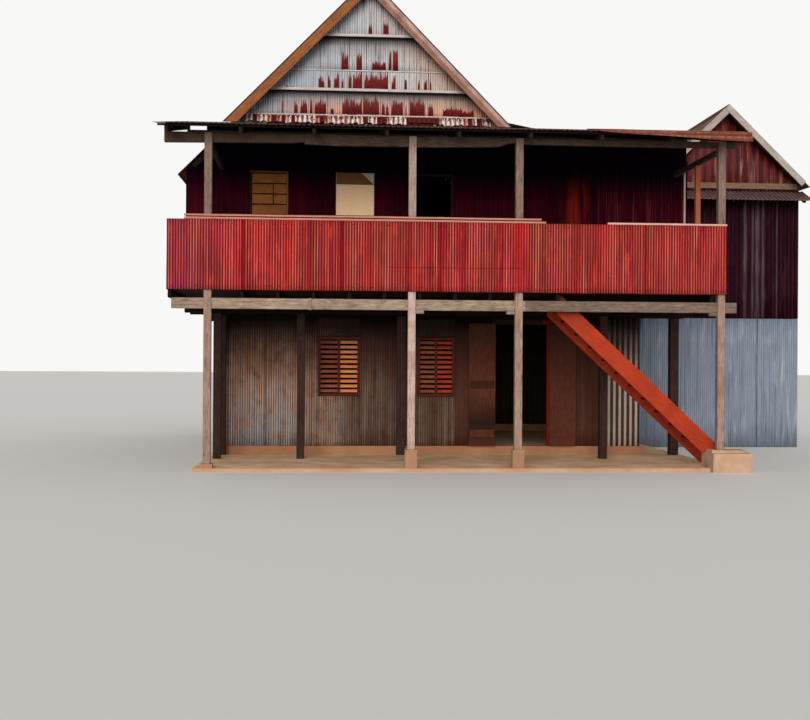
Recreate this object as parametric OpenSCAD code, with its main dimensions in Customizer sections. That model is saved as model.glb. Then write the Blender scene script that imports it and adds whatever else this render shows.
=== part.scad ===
// Timber stilt house clad in corrugated sheet, with a front veranda and a rear wing.
// Millimetres. X runs to the right along the front, Y to the back, Z up.
// The origin is on the ground, midway between the two outer front posts.

/* [Plan] */
// Distance between the first and second front posts
bay_left = 2850; // [2300:10:3600]
// Distance between the second and third front posts
bay_mid = 1520; // [1200:10:2000]
// Distance between the third and fourth front posts
bay_right = 2930; // [2700:10:3700]
// From the front posts to the row of posts at the house wall
veranda_depth = 2200; // [1900:10:2700]
// From the wall row to the rear row of posts
house_depth = 6400; // [5200:10:7700]
// How far the upper floor runs past the left posts
jetty_left = 550; // [300:10:700]
// How far the upper floor runs past the right posts
jetty_right = 175; // [120:5:260]
// How far the steep roof runs past the third row of posts
core_over = 760; // [600:10:950]
// Width of the enclosed ground floor, from the left posts
ground_room_w = 6820; // [6000:10:7000]
// Width of the rear wing
wing_w = 2850; // [2300:10:3500]
// From the wall row back to the front of the wing
wing_setback = 2300; // [1800:10:2900]
// Depth of the rear wing
wing_depth = 3600; // [2900:10:4000]

/* [Heights] */
// Thickness of the concrete slab on the ground
slab_t = 50; // [40:5:80]
// Height of the kerb under the ground floor walls
kerb_h = 135; // [90:5:200]
// Top of the upper floor boards
floor_z = 2560; // [2300:10:3000]
// Height of the veranda skirt above its lower edge
parapet_h = 980; // [800:10:1150]
// From the upper floor to the top of the plate on the veranda posts
plate_h = 2160; // [1800:10:2600]
// The steep roof at the left wall, above the same plate
eaves_h = -70; // [-90:5:-50]
// From the upper floor to the ridge of the wing
wing_ridge_h = 3690; // [3400:10:4300]

/* [Roofs] */
// Slope of the veranda roof
veranda_pitch = 12; // [8:0.5:15]
// Slope of the main roof
main_pitch = 45.5; // [42:0.5:50]
// Slope of the low roof over the right aisle
aisle_pitch = 10.6; // [8:0.1:12]
// Slope of the wing roof
wing_pitch = 44; // [40:0.5:48]
// How far the veranda roof runs in front of its posts
eave = 500; // [350:10:600]
// How far the main roof runs in front of its gable
verge = 340; // [250:10:450]

/* [Timber] */
// Side of a front post
post_s = 105; // [90:5:150]
// Side of an inner post
inner_s = 140; // [110:5:160]
// Thickness of the floor beams
beam_w = 60; // [50:5:70]
// Depth of the floor beams
beam_h = 150; // [120:5:180]
// Depth of the floor joists
joist_h = 110; // [90:5:130]
// Width of the floor joists
joist_w = 50; // [40:5:60]
// Distance between floor joists
joist_pitch = 475; // [380:5:600]
// Thickness of the floor boards
board_t = 30; // [20:1:35]
// Side of wall studs, girts and rails
stud = 60; // [45:5:70]
// Depth of rafters
rafter_h = 80; // [60:5:110]
// Width of rafters
rafter_w = 50; // [40:5:60]
// Thickness of roof battens
batten_t = 30; // [20:1:40]
// Width of roof battens
batten_w = 50; // [40:5:60]

/* [Sheets] */
// Width of one wave of the wide corrugated sheet
wide_pitch = 76; // [60:1:100]
// Height of one wave of the wide corrugated sheet
wide_depth = 16; // [12:1:20]
// Width of one wave of the fine corrugated sheet
fine_pitch = 38; // [30:1:50]
// Height of one wave of the fine corrugated sheet
fine_depth = 9; // [6:1:10]
// Thickness of the sheet metal as modelled
sheet_t = 3; // [2:0.5:4]

/* [Doors and windows] */
// Clear width of the ground floor doorway
door_w = 877; // [800:1:1000]
// Head of the ground floor doorway, below the top of the wall
door_drop = 91; // [76:1:110]
// Left side of the doorway, from the third front post
door_dx = 12; // [0:1:60]
// Thickness of a door leaf
leaf_t = 35; // [25:1:40]
// Width of the left louvre window
louvre_w1 = 676; // [560:1:760]
// Width of the right louvre window
louvre_w2 = 603; // [500:1:640]
// Height of the louvre windows
louvre_h = 950; // [800:10:1000]
// Head of the louvre windows, below the top of the wall
louvre_drop = 331; // [275:1:400]
// Width of the upper doorway
upper_door_w = 640; // [560:5:700]
// Height of the upper doorway
upper_door_h = 1990; // [1850:10:2050]
// Width of the upper windows
upper_win_w = 610; // [500:5:700]
// Height of the upper windows
upper_win_h = 690; // [560:5:720]

/* [Stair] */
// Number of steps from the foot block to the veranda floor
steps = 12; // [10:1:13]
// Slope of the stair
stair_pitch = 42.9; // [40:0.1:46]
// Depth of a stringer, square to its slope
stringer_h = 236; // [200:2:260]
// Thickness of a stringer
stringer_t = 45; // [35:1:55]
// Clear width between the stringers
stair_w = 685; // [600:5:760]
// Thickness of a tread
tread_t = 32; // [25:1:40]
// Depth of the housing that holds a tread's end
housing = 15; // [10:1:20]

/* [Hidden] */
front_w = bay_left + bay_mid + bay_right;
px = [-front_w / 2, -front_w / 2 + bay_left, front_w / 2 - bay_right, front_w / 2];
second_y = 1500;
wall_y = veranda_depth;
mid_y = wall_y + house_depth / 2;
rear_y = wall_y + house_depth;
joist_z = floor_z - board_t - joist_h;
beam_z = joist_z - beam_h;
ux0 = px[0] - jetty_left;
ux1 = px[3] + jetty_right;
uy0 = wall_y - inner_s / 2;
uy1 = rear_y + inner_s / 2;
fine_t = fine_depth + sheet_t;
wide_t = wide_depth + sheet_t;
gap = 2;
clear = 5;
seat = 0.05;
plate_z = floor_z + plate_h;

// Veranda roof: the underside of its rafters passes over the plate
function veranda_z(y) = plate_z + (y + post_s / 2) * tan(veranda_pitch);
roof_build = (rafter_h + batten_t) / cos(veranda_pitch);
veranda_end = uy0 - wide_t - clear;
upper_top = veranda_z(veranda_end) + roof_build - 10;
low_y0 = uy0 + stud + 10;

// Steep roof: its outer surface
core_w = px[2] + core_over - ux0;
core_x = ux0 + core_w / 2;
ridge_z = plate_z + eaves_h + core_w / 2 * tan(main_pitch);
function main_z(x) = ridge_z - abs(x - core_x) * tan(main_pitch);
function main_x(z, side) = core_x + side * (ridge_z - z) / tan(main_pitch);
gable_base = veranda_z(uy0) + roof_build + wide_t;
gable_y = uy0;
roof_y0 = gable_y - verge;
roof_y1 = uy1 + verge;
gable_lap = gable_base + 138;
step_low = gable_base + 0.23 * (ridge_z - gable_base);
step_mid = gable_base + 0.378 * (ridge_z - gable_base);
step_high = gable_base + 0.613 * (ridge_z - gable_base);
panel_step = 55;
gable_tip = ridge_z - 260;
gable_drop = (wide_t + batten_t) / cos(main_pitch) + 5;
roof_drop = (wide_t + batten_t + rafter_h) / cos(main_pitch);

// Aisle roof: the top of its sheet starts under the steep roof, over the ends of its rafters
aisle_x0 = px[2] + core_over - 910;
aisle_top = main_z(aisle_x0 + 60) - wide_t / cos(main_pitch) - 15;
aisle_x1 = ux1 + fine_t + 10;
aisle_build = wide_t + batten_t + rafter_h;
function aisle_z(x) = aisle_top - (x - aisle_x0) * tan(aisle_pitch);
back_split = min(aisle_z(ux1) - wide_t - 100, main_z(ux0) - wide_t / cos(main_pitch) - 20);

// Wing
wx0 = ux1 + fine_t + 20;
wx1 = wx0 + wing_w;
wy0 = wall_y + wing_setback;
wy1 = wy0 + wing_depth;
wing_x = (wx0 + wx1) / 2;
wing_split_z = floor_z - 185;
wing_ridge_z = floor_z + wing_ridge_h;
wing_rafter_h = 60;
function wing_z(x) = wing_ridge_z - abs(x - wing_x) * tan(wing_pitch);
wing_drop = (wide_t + batten_t) / cos(wing_pitch);
wing_plate_z = wing_z(wx0 + 40) - wing_drop - wing_rafter_h / cos(wing_pitch);
wing_top = wing_plate_z - 20;
skirt_pitch = 25;
skirt_run = 520;

// Ground floor room
gy = wall_y + inner_s / 2 + fine_t + 8;
gx0 = px[0] - inner_s / 2;
gx1 = gx0 + ground_room_w;
gy1 = rear_y + inner_s / 2;
kerb_w = 120;
gz = slab_t + kerb_h;
gtop = beam_z - 4;

// Doorway in the ground floor front wall
door_x0 = px[2] + door_dx;
door_x1 = door_x0 + door_w;
door_top = gtop - door_drop;
jamb_w = 60;
jamb_d = 120;
jamb_y = gy - fine_t - 20;
hinge_off = 14;
hinge_y = jamb_y - hinge_off;
hinge_gap = clear;
leaf_w = door_w / 2 - hinge_gap - 4.5;
leaf_z0 = gz + 8;
leaf_z1 = door_top - 8;
pin_r = 7;
eye_r = 13;
hinge_zs = [leaf_z0 + 250, leaf_z1 - 250];
louvre_sill = gtop - louvre_drop - louvre_h;
louvre_x1 = px[0] + 1520;
louvre_x2 = px[1] + 271;

// Upper openings
udoor_x1 = px[1] + 822;
udoor_x0 = udoor_x1 - upper_door_w;
udoor_top = floor_z + upper_door_h;
uwin_x1 = px[0] + 430;
uwin_x2 = px[0] + 1790;
uwin_top = udoor_top;
uwin_sill = uwin_top - upper_win_h;

// Stair
stair_y0 = 130;
stair_y1 = stair_y0 + stringer_t + stair_w;
stair_head_x = px[2] + 585;
stringer_v = stringer_h / cos(stair_pitch);
function stair_x(z) = stair_head_x + (floor_z - z) / tan(stair_pitch);
block_h = 268;
rise = (floor_z - block_h) / steps;
well_x1 = px[3] - 160;
well_y0 = stair_y0 - 20;
well_y1 = stair_y1 + stringer_t + 20;
block_x0 = min(px[3] - 177, stair_x(block_h) - 290);
block_x1 = max(px[3] + 388, stair_x(block_h) + 200);
block_y = 250;
block_top = 308;
plinth_h = 310;

red = "#9c3b33";
dark_red = "#4a1c20";
timber = "#b9aa97";
dark_timber = "#5b4436";
zinc = "#9fb0b8";
concrete = "#b7b0a4";

// Box between two corners
module span(a, b) {
    translate(a)
        cube([b[0] - a[0], b[1] - a[1], b[2] - a[2]]);
}

// Timber of square or flat section standing on a point
module stick(x, y, z0, z1, s) {
    span([x - s / 2, y - s / 2, z0], [x + s / 2, y + s / 2, z1]);
}

// Corrugated section from y = 0 to -depth - sheet_t: flats is true for flat crests and valleys
function wave_y(t, depth, flats) = -depth * (flats ? min(max(abs(t - floor(t) - 0.5) * -4 + 1.5, 0), 1)
                                                   : 1 - abs(2 * (t - floor(t)) - 1));
function wave_ts(n, flats) = flats ? [for (i = [0 : ceil(n) - 1], k = [1, 3, 5, 7]) i + k / 8]
                                   : [for (i = [0 : 2 * ceil(n) - 1]) i / 2];
function wave_line(w, pitch, depth, flats) = [
    for (t = concat([0], [for (u = wave_ts(w / pitch, flats)) if (u > 0.01 && u < w / pitch - 0.01) u], [w / pitch]))
        [t * pitch, wave_y(t, depth, flats)]
];
function lowered(line) = [for (i = [len(line) - 1 : -1 : 0]) line[i] - [0, sheet_t]];

// Upright corrugated sheet, w wide along X and h high, with its back on y = 0
module sheet(w, h, pitch, depth, flats) {
    line = wave_line(w, pitch, depth, flats);
    linear_extrude(h)
        polygon(concat(line, lowered(line)));
}
module fine_sheet(w, h) { sheet(w, h, fine_pitch, fine_depth, false); }
module wide_sheet(w, h, flats = false) { sheet(w, h, wide_pitch, wide_depth, flats); }

// Wide sheet standing behind an outline drawn in X and Z, cut to it
module outlined_sheet(points) {
    xs = [for (p = points) p[0]];
    zs = [for (p = points) p[1]];
    intersection() {
        translate([min(xs), 0, min(zs)])
            wide_sheet(max(xs) - min(xs), max(zs) - min(zs));
        translate([0, 1, 0])
            rotate([90, 0, 0])
                linear_extrude(wide_t + 2)
                    polygon(points);
    }
}

// Sheets of one wall, each given as [x0, x1, z0, z1], with open joints between them
module wall_sheets(list, fine = true) {
    for (s = list)
        translate([s[0] + gap / 2, 0, s[2]])
            if (fine)
                fine_sheet(s[1] - s[0] - gap, s[3] - s[2]);
            else
                wide_sheet(s[1] - s[0] - gap, s[3] - s[2]);
}

// Ground works

slab_x1 = max(px[3] + inner_s, stair_x(slab_t) + 20);

module ground_slab() {
    color(concrete)
        linear_extrude(slab_t)
            polygon([
                [gx0 - kerb_w, -post_s / 2 - 60], [block_x0, -post_s / 2 - 60], [block_x0, block_y],
                [slab_x1, block_y], [slab_x1, stair_y1 + 160], [px[3] + inner_s, stair_y1 + 160],
                [px[3] + inner_s, gy1 + kerb_w], [gx0 - kerb_w, gy1 + kerb_w]
            ]);
}

module wall_kerb() {
    color(concrete)
        difference() {
            span([gx0 - kerb_w / 2, gy - fine_t, slab_t], [gx1 + kerb_w / 2, gy1 + kerb_w / 2, gz]);
            span([gx0 + kerb_w / 2, gy - fine_t + kerb_w, slab_t - 1], [gx1 - kerb_w / 2, gy1 - kerb_w / 2, gz + 1]);
            for (x = [px[0], px[1], px[2]])
                stick(x, rear_y, slab_t - 1, gz + 1, inner_s);
            stick(px[0], mid_y, slab_t - 1, gz + 1, inner_s);
        }
}

module post_plinths() {
    color(concrete)
        for (x = [px[0], px[1], px[2]])
            stick(x, 0, slab_t, x == px[0] ? slab_t + 60 : plinth_h, post_s + 60);
}

module stair_foot_block() {
    color(concrete) {
        span([block_x0, -block_y, 0], [block_x1, block_y, block_h]);
        span([px[3] - 154, -block_y / 2, 0], [px[3] + 346, block_y / 2, block_top]);
    }
}

// Posts and floor frame

// Timbers of the plate on the front posts, let into the backs of the posts, as [X, depth] below its top
plate_y0 = -17.5;
plate_top = veranda_z(plate_y0);
lap_x = px[0] + 1330;
plate_runs = [
    [[ux0 - 60, 0], [lap_x, 0], [lap_x, 115], [lap_x - 200, 128], [ux0 - 60, 148]],
    [[lap_x + gap, 0], [px[2] - 1, 0], [px[2] - 1, 72], [px[2] - 140, 75], [px[2] - 300, 128],
     [px[1] + 380, 152], [lap_x + 400, 156], [lap_x + gap, 142]],
    [[px[2] + 1, 0], [ux1 + 60, 0], [ux1 + 60, 84], [px[2] + 1080, 92], [px[2] + 1, 86]]
];
module plate_timbers() {
    for (run = plate_runs)
        translate([0, post_s / 2, plate_top])
            rotate([90, 0, 0])
                linear_extrude(post_s / 2 - plate_y0)
                    polygon([for (p = run) [p[0], -p[1]]]);
}

function post_foot(i) = i == 0 ? slab_t + 60 : i == 3 ? block_top : plinth_h;

module front_posts() {
    color(timber)
        for (i = [0 : 3])
            difference() {
                stick(px[i], 0, post_foot(i), plate_z, post_s);
                span([px[i] - post_s, -beam_w / 2, beam_z], [px[i] + post_s, beam_w / 2, beam_z + beam_h]);
                plate_timbers();
            }
}

module inner_posts() {
    color(dark_timber) {
        for (x = [px[0], px[0] + 1266, px[3] - 1337])
            stick(x, second_y, slab_t, beam_z, inner_s * 0.85);
        for (x = [px[0], px[1], px[3]])
            stick(x, wall_y, slab_t, beam_z, inner_s);
        for (x = px, y = [mid_y, rear_y])
            stick(x, y, slab_t, beam_z, inner_s);
    }
}

module front_floor_beam() {
    color(timber)
        span([ux0 + 50, -beam_w / 2, beam_z], [ux1 + 55, beam_w / 2, beam_z + beam_h]);
}

module floor_beams() {
    color(dark_timber) {
        span([ux0 + 50, second_y - beam_w / 2, beam_z], [px[3] - 1200, second_y + beam_w / 2, beam_z + beam_h]);
        for (y = [wall_y, mid_y, rear_y])
            span([ux0 + 50, y - beam_w / 2, beam_z], [ux1 - 20, y + beam_w / 2, beam_z + beam_h]);
        span([stair_head_x, well_y1, joist_z], [well_x1, well_y1 + joist_w, joist_z + joist_h]);
    }
}

module beam_wedges() {
    color(timber)
        for (p = [[1, 1], [2, -1], [3, -1]])
            let (x = px[p[0]] + p[1] * (post_s / 2 + 60))
            span([x - 60, -beam_w / 2, beam_z - 45], [x + 60, beam_w / 2, beam_z]);
    // Short batten nailed on the beam
    color(timber)
        span([px[0] + 1400, -beam_w / 2 - 18, beam_z - 8], [px[0] + 1442, -beam_w / 2, beam_z + beam_h + 6]);
}

// Right end of the veranda, flush with the outer face of the last post
vx1 = px[3] + post_s / 2;

// Joists run from front to back; those at the stair well stop at its trimmer
joist_n = floor((ux1 - ux0 - joist_w) / joist_pitch);
joist_step = (ux1 - ux0 - joist_w) / joist_n;
function joist_x(i) = ux0 + joist_w / 2 + i * joist_step;
function in_well(x) = x > stair_head_x - joist_w / 2 && x < well_x1 + joist_w / 2;
trimmer_xs = [stair_head_x - joist_w / 2, well_x1 + joist_w / 2];
function blocked(x) = len([for (p = px) if (abs(x - p) < (inner_s + joist_w) / 2 + 5) 1]) > 0
                   || len([for (t = trimmer_xs) if (abs(x - t) < joist_w + 60) 1]) > 0;

module joist(x, y0, y1) {
    span([x - joist_w / 2, y0, joist_z], [x + joist_w / 2, y1, joist_z + joist_h]);
}

module floor_joists() {
    color(dark_timber) {
        for (i = [0 : joist_n])
            let (x = joist_x(i))
            if (!blocked(x))
                joist(x, x > vx1 ? uy0 : in_well(x) ? well_y1 + joist_w : -25, rear_y + 30);
        for (x = trimmer_xs)
            joist(x, -25, rear_y + 30);
    }
}

module veranda_floor() {
    color(dark_timber)
        difference() {
            span([ux0, -beam_w, floor_z - board_t], [vx1, uy0 - fine_t, floor_z]);
            span([stair_head_x, well_y0, floor_z - 100], [well_x1, well_y1, floor_z + 100]);
            for (x = px)
                stick(x, 0, floor_z - 100, floor_z + 100, post_s);
        }
}

module house_floor() {
    color(dark_timber)
        span([ux0, uy0 - fine_t, floor_z - board_t], [ux1, uy1, floor_z]);
}

// Veranda skirt

skirt_z = floor_z - board_t;
parapet_y = -post_s / 2 - stud / 2;
parapet_back = uy0 - fine_t;

module parapet_frame() {
    color(dark_timber)
        for (z = [floor_z, floor_z + parapet_h * 0.45, floor_z + parapet_h - 90]) {
            span([ux0 + stud / 2, parapet_y, z], [vx1, -post_s / 2, z + 45]);
            span([ux0, clear - post_s / 2, z], [ux0 + 45, parapet_back, z + 45]);
            span([vx1 - 45, post_s / 2, z], [vx1, parapet_back, z + 45]);
        }
}

module parapet_front() {
    color(red)
        translate([ux0, parapet_y, skirt_z])
            fine_sheet(vx1 - ux0, parapet_h);
}

module parapet_ends() {
    color(red) {
        translate([ux0, parapet_back, skirt_z])
            rotate([0, 0, -90])
                fine_sheet(parapet_back - parapet_y, parapet_h);
        translate([vx1, parapet_y, skirt_z])
            rotate([0, 0, 90])
                fine_sheet(parapet_back - parapet_y, parapet_h);
    }
}

// Rails along the head of the skirt, on the fronts of the posts: the left one has a second rail above it
module parapet_rails() {
    top = skirt_z + parapet_h;
    runs = [
        [ux0 + 230, px[2] + 370, top, 28], [px[2] + 1258, vx1 + 5, top, 28], [ux0 + 230, px[2] + 305, top + 42, 26]
    ];
    color(timber)
        for (r = runs)
            span([r[0], parapet_y - fine_t - 8, r[2]], [r[1], -post_s / 2, r[2] + r[3]]);
}

// Upper storey

// Plates under the rafters: the height of their top at the outer edge of each row of posts
plate_w = 100;
left_plate_z = main_z(px[0] - plate_w / 2) - roof_drop;
right_plate_z = main_z(px[2] + plate_w / 2) - roof_drop;
aisle_plate_z = aisle_z(px[3] + plate_w / 2) - aisle_build / cos(aisle_pitch);
plate_zs = [left_plate_z, left_plate_z - plate_w, right_plate_z, aisle_plate_z];

slim_s = 75;
slim_x = vx1 - 45 - slim_s / 2;
slim_y = veranda_depth / 2 - 150;

// Ties from the outer front posts back to the wall
tie_w = 60;
tie_h = 80;
tie_z = plate_z - 170;
module upper_posts() {
    color(dark_timber)
        for (i = [0 : 3], y = [wall_y, mid_y, rear_y])
            stick(px[i], y, floor_z, plate_zs[i] - plate_w, inner_s);
    // Slim post under the tie at the open end of the veranda
    color("#a8643f")
        stick(slim_x, slim_y, floor_z, tie_z, slim_s);
}

module roof_frame() {
    color(dark_timber) {
        for (i = [0, 2, 3])
            span([px[i] - plate_w / 2, uy0 + stud, plate_zs[i] - plate_w],
                 [px[i] + plate_w / 2, rear_y + inner_s / 2, plate_zs[i]]);
        for (y = [wall_y, mid_y, rear_y])
            span([px[0] + inner_s / 2, y, plate_zs[1] - plate_w], [px[2] - inner_s / 2, y + 60, plate_zs[1]]);
    }
}

// Studs and rails of the outer walls, inside their sheets
module upper_wall_frame() {
    left_top = main_z(ux0) - 150;
    right_top = aisle_z(ux1) - aisle_build - 20;
    color(dark_timber) {
        for (s = [[ux0, left_top], [ux1 - stud, right_top]])
            for (z = [floor_z, floor_z + 1000, s[1] - stud])
                span([s[0], uy0 + 80, z], [s[0] + stud, uy1 - 80, z + stud]);
        difference() {
            span([px[0] + 160, uy0, upper_top - stud], [ux1, uy0 + stud, upper_top]);
            stick(px[2], wall_y, floor_z, plate_zs[2] - plate_w, inner_s);
        }
        for (x = [uwin_x1 - stud, uwin_x1 + upper_win_w, uwin_x2 - stud, uwin_x2 + upper_win_w,
                  udoor_x0 - stud, udoor_x1, px[2] + 780, px[3] - 1300, ux1 - stud])
            span([x, uy0, floor_z], [x + stud, uy0 + stud, upper_top - stud]);
    }
}

module upper_front_wall() {
    door = [udoor_x0, udoor_x1];
    w1 = [uwin_x1, uwin_x1 + upper_win_w];
    w2 = [uwin_x2, uwin_x2 + upper_win_w];
    left_top = main_z(ux0) - 60;
    color(dark_red)
        translate([0, uy0, 0])
            wall_sheets([
                [ux0, ux0 + 300, floor_z, left_top],
                [ux0 + 300, w1[0], floor_z, upper_top],
                [w1[0], w1[1], floor_z, uwin_sill],
                [w1[0], w1[1], uwin_top, upper_top],
                [w1[1], w2[0], floor_z, upper_top],
                [w2[0], w2[1], floor_z, uwin_sill],
                [w2[0], w2[1], uwin_top, upper_top],
                [w2[1], door[0], floor_z, upper_top],
                [door[0], door[1], udoor_top, upper_top],
                [door[1], ux1, floor_z, upper_top]
            ]);
}

module upper_rear_walls() {
    left_top = main_z(ux0 - wide_t) - wide_t / cos(main_pitch) - 10;
    right_top = aisle_z(ux1 + wide_t) - wide_t - 12;
    color(dark_red) {
        translate([ux0, uy1, floor_z])
            rotate([0, 0, -90])
                wide_sheet(uy1 - uy0, left_top - floor_z);
        translate([ux1, uy0, floor_z])
            rotate([0, 0, 90])
                wide_sheet(uy1 - uy0, right_top - floor_z);
        translate([ux1 - gap, uy1 + gap, floor_z])
            rotate([0, 0, 180])
                wide_sheet(ux1 - ux0 - 2 * gap, back_split - floor_z);
    }
}

// Window opening closed by boards in a frame
module shutter(x) {
    rim = 45;
    difference() {
        span([x + gap, uy0 - fine_t - 12, uwin_sill + gap], [x + upper_win_w - gap, uy0, uwin_top - gap]);
        span([x + rim, uy0 - fine_t - 13, uwin_sill + rim], [x + upper_win_w - rim, uy0 - fine_t, uwin_top - rim]);
    }
}

module plank_shutter() { color("#9a7443") shutter(uwin_x1); }
module board_shutter() { color("#c9ad85") shutter(uwin_x2); }

module upper_door_frame() {
    color(timber)
        difference() {
            span([udoor_x0 + gap, uy0 - fine_t - 10, floor_z], [udoor_x1 - gap, uy0 + 40, udoor_top - gap]);
            span([udoor_x0 + 42, uy0 - 100, floor_z - 1], [udoor_x1 - 42, uy0 + 100, udoor_top - 42]);
        }
}

module corner_trim() {
    color("#cfc6bb")
        span([ux1 - 45, uy0 - fine_t - 5, floor_z], [ux1 - 15, uy0 - fine_t, plate_z]);
}

// Ground floor

module ground_wall_frame() {
    color(dark_timber)
        for (r = [[gx0, door_x0 - jamb_w - gap], [door_x1 + jamb_w + gap, gx1]])
            for (z = [gz, gtop - stud])
                span([r[0], gy, z], [r[1], gy + stud, z + stud]);
}

module ground_front_wall() {
    w1 = [louvre_x1, louvre_x1 + louvre_w1];
    w2 = [louvre_x2, louvre_x2 + louvre_w2];
    top = louvre_sill + louvre_h;
    dl = door_x0 - jamb_w;
    dr = door_x1 + jamb_w;
    color("#8f8371")
        translate([0, gy, 0])
            wall_sheets([
                [gx0, w1[0], gz, gtop],
                [w1[0], w1[1], gz, louvre_sill],
                [w1[0], w1[1], top, gtop],
                [w1[1], w2[0], gz, gtop],
                [w2[0], w2[1], gz, louvre_sill],
                [w2[0], w2[1], top, gtop],
                [w2[1], dl, gz, gtop],
                [dl, dr, door_top + jamb_w, gtop],
                [dr, gx1, gz, gtop]
            ]);
}

module ground_rear_walls() {
    color("#8f8371") {
        translate([gx0, gy1, gz])
            rotate([0, 0, -90])
                wide_sheet(gy1 - gy, gtop - gz);
        translate([gx1, gy, gz])
            rotate([0, 0, 90])
                wide_sheet(gy1 - gy, gtop - gz);
        translate([gx1 - gap, gy1 + gap, gz])
            rotate([0, 0, 180])
                wide_sheet(gx1 - gx0 - 2 * gap, skirt_z - gap - gz);
    }
}

// Fixed louvre: frame, middle stile and tilted slats let into them
module louvre(x, w) {
    rim = 45;
    n = 11;
    y0 = gy - fine_t - 15;
    pitch = (louvre_h - 2 * rim) / n;
    difference() {
        span([x + gap, y0, louvre_sill + gap], [x + w - gap, y0 + 70, louvre_sill + louvre_h - gap]);
        for (s = [0, 1])
            span([x + (s == 0 ? rim : w / 2 + 20), y0 - 1, louvre_sill + rim],
                 [x + (s == 0 ? w / 2 - 20 : w - rim), y0 + 71, louvre_sill + louvre_h - rim]);
    }
    for (i = [0 : n - 1])
        translate([x + rim / 2, y0 + 35, louvre_sill + rim + (i + 0.5) * pitch])
            rotate([40, 0, 0])
                translate([0, -38, -5])
                    cube([w - rim, 76, 10]);
}

module louvre_windows() {
    color("#8a4a26") {
        louvre(louvre_x1, louvre_w1);
        louvre(louvre_x2, louvre_w2);
    }
}

// Doorway frame with a stop behind the leaves
module door_frame() {
    color("#6d3b2c")
        difference() {
            span([door_x0 - jamb_w + gap, jamb_y, gz], [door_x1 + jamb_w - gap, jamb_y + jamb_d, door_top + jamb_w - gap]);
            span([door_x0, jamb_y - 1, gz - 1], [door_x1, jamb_y + leaf_t + clear, door_top]);
            span([door_x0 + 18, jamb_y, gz - 1], [door_x1 - 18, jamb_y + jamb_d + 1, door_top - 18]);
        }
}

// Pins on lugs at the front of the jambs: side is -1 for the left jamb, 1 for the right
module pintle(x, side, z) {
    translate([x, hinge_y, z])
        cylinder(h = 52, r = pin_r, $fn = 32);
    translate([x, hinge_y, z])
        cylinder(h = 10, r = eye_r, $fn = 32);
    span([min(x + side * 5, x + side * 50), hinge_y - 6, z], [max(x + side * 5, x + side * 50), jamb_y, z + 10]);
}

module door_pintles() {
    color("#4b4038")
        for (z = hinge_zs) {
            pintle(door_x0, -1, z);
            pintle(door_x1, 1, z);
        }
}

// Door leaf folded back flat in front of the wall: side is -1 for the left leaf, 1 for the right
module leaf(x, side) {
    y0 = hinge_y - hinge_off - leaf_t;
    a = x + side * hinge_gap;
    b = a + side * leaf_w;
    span([min(a, b), y0 + 10, leaf_z0], [max(a, b), y0 + leaf_t, leaf_z1]);
    for (z = [leaf_z0 + 140, (leaf_z0 + leaf_z1) / 2 - 60, leaf_z1 - 260])
        span([min(a, b) + 20, y0, z], [max(a, b) - 20, y0 + 10, z + 120]);
    for (z = hinge_zs)
        difference() {
            union() {
                translate([x, hinge_y, z + 12])
                    cylinder(h = 36, r = eye_r, $fn = 32);
                span([min(x, x + side * 260), hinge_y - hinge_off, z + 14], [max(x, x + side * 260), hinge_y - 8, z + 46]);
            }
            translate([x, hinge_y, z])
                cylinder(h = 80, r = pin_r + 1, $fn = 32);
        }
}

module door_leaf_left() { color("#6b4a34") leaf(door_x0, -1); }
module door_leaf_right() { color("#6b4a34") leaf(door_x1, 1); }

// Veranda roof

module veranda_plate() {
    ledger_y = uy0 - fine_t - 45;
    color(timber) {
        plate_timbers();
        span([ux0, ledger_y, veranda_z(ledger_y) - 100], [ux1, ledger_y + 45, veranda_z(ledger_y)]);
        for (x = [px[0], slim_x])
            span([x - tie_w / 2, post_s / 2, tie_z], [x + tie_w / 2, uy0 - fine_t - gap, tie_z + tie_h]);
    }
}

rafter_n = floor((ux1 - ux0) / 900);
function rafter_x(i) = ux0 + rafter_w / 2 + i * (ux1 - ux0 - rafter_w) / rafter_n;
rafter_len = (veranda_end + eave - 60) / cos(veranda_pitch);

// Frame of reference on the veranda slope: x as before, y up the slope from the post row
module on_veranda_slope() {
    translate([0, 0, veranda_z(0)])
        rotate([veranda_pitch, 0, 0])
            children();
}

module veranda_rafters() {
    color(dark_timber)
        on_veranda_slope() {
            for (i = [0 : rafter_n])
                translate([rafter_x(i) - rafter_w / 2, -(eave - 60) / cos(veranda_pitch), 0])
                    cube([rafter_w, rafter_len, rafter_h]);
            for (k = [0 : 3])
                translate([ux0 - 100, -(eave - 100) / cos(veranda_pitch) + k * (rafter_len - 120) / 3, rafter_h])
                    cube([ux1 - ux0 + 200, batten_w, batten_t]);
        }
}

// Sheet laid on a slope: waves along x, length up the slope along y, underside on z = 0
module laid_sheet(w, l) {
    rotate([-90, 0, 0])
        wide_sheet(w, l, true);
}

corner_x = px[3] - 1920;
corner_w = 760;
teeth_x = px[3] - 1100;
veranda_len = (veranda_end + eave) / cos(veranda_pitch) - 30;

// Sheets on the veranda roof: those at the right stop behind the sheet laid across the corner
module veranda_roof() {
    color("#6d5a50")
        on_veranda_slope() {
            translate([ux0 - 150, -eave / cos(veranda_pitch), rafter_h + batten_t + seat])
                laid_sheet(teeth_x - ux0 + 150, veranda_len);
            translate([teeth_x + 5, corner_w - eave / cos(veranda_pitch) - 120, rafter_h + batten_t + seat])
                laid_sheet(ux1 + 60 - teeth_x - 5, veranda_len - corner_w + 120);
        }
}

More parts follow.
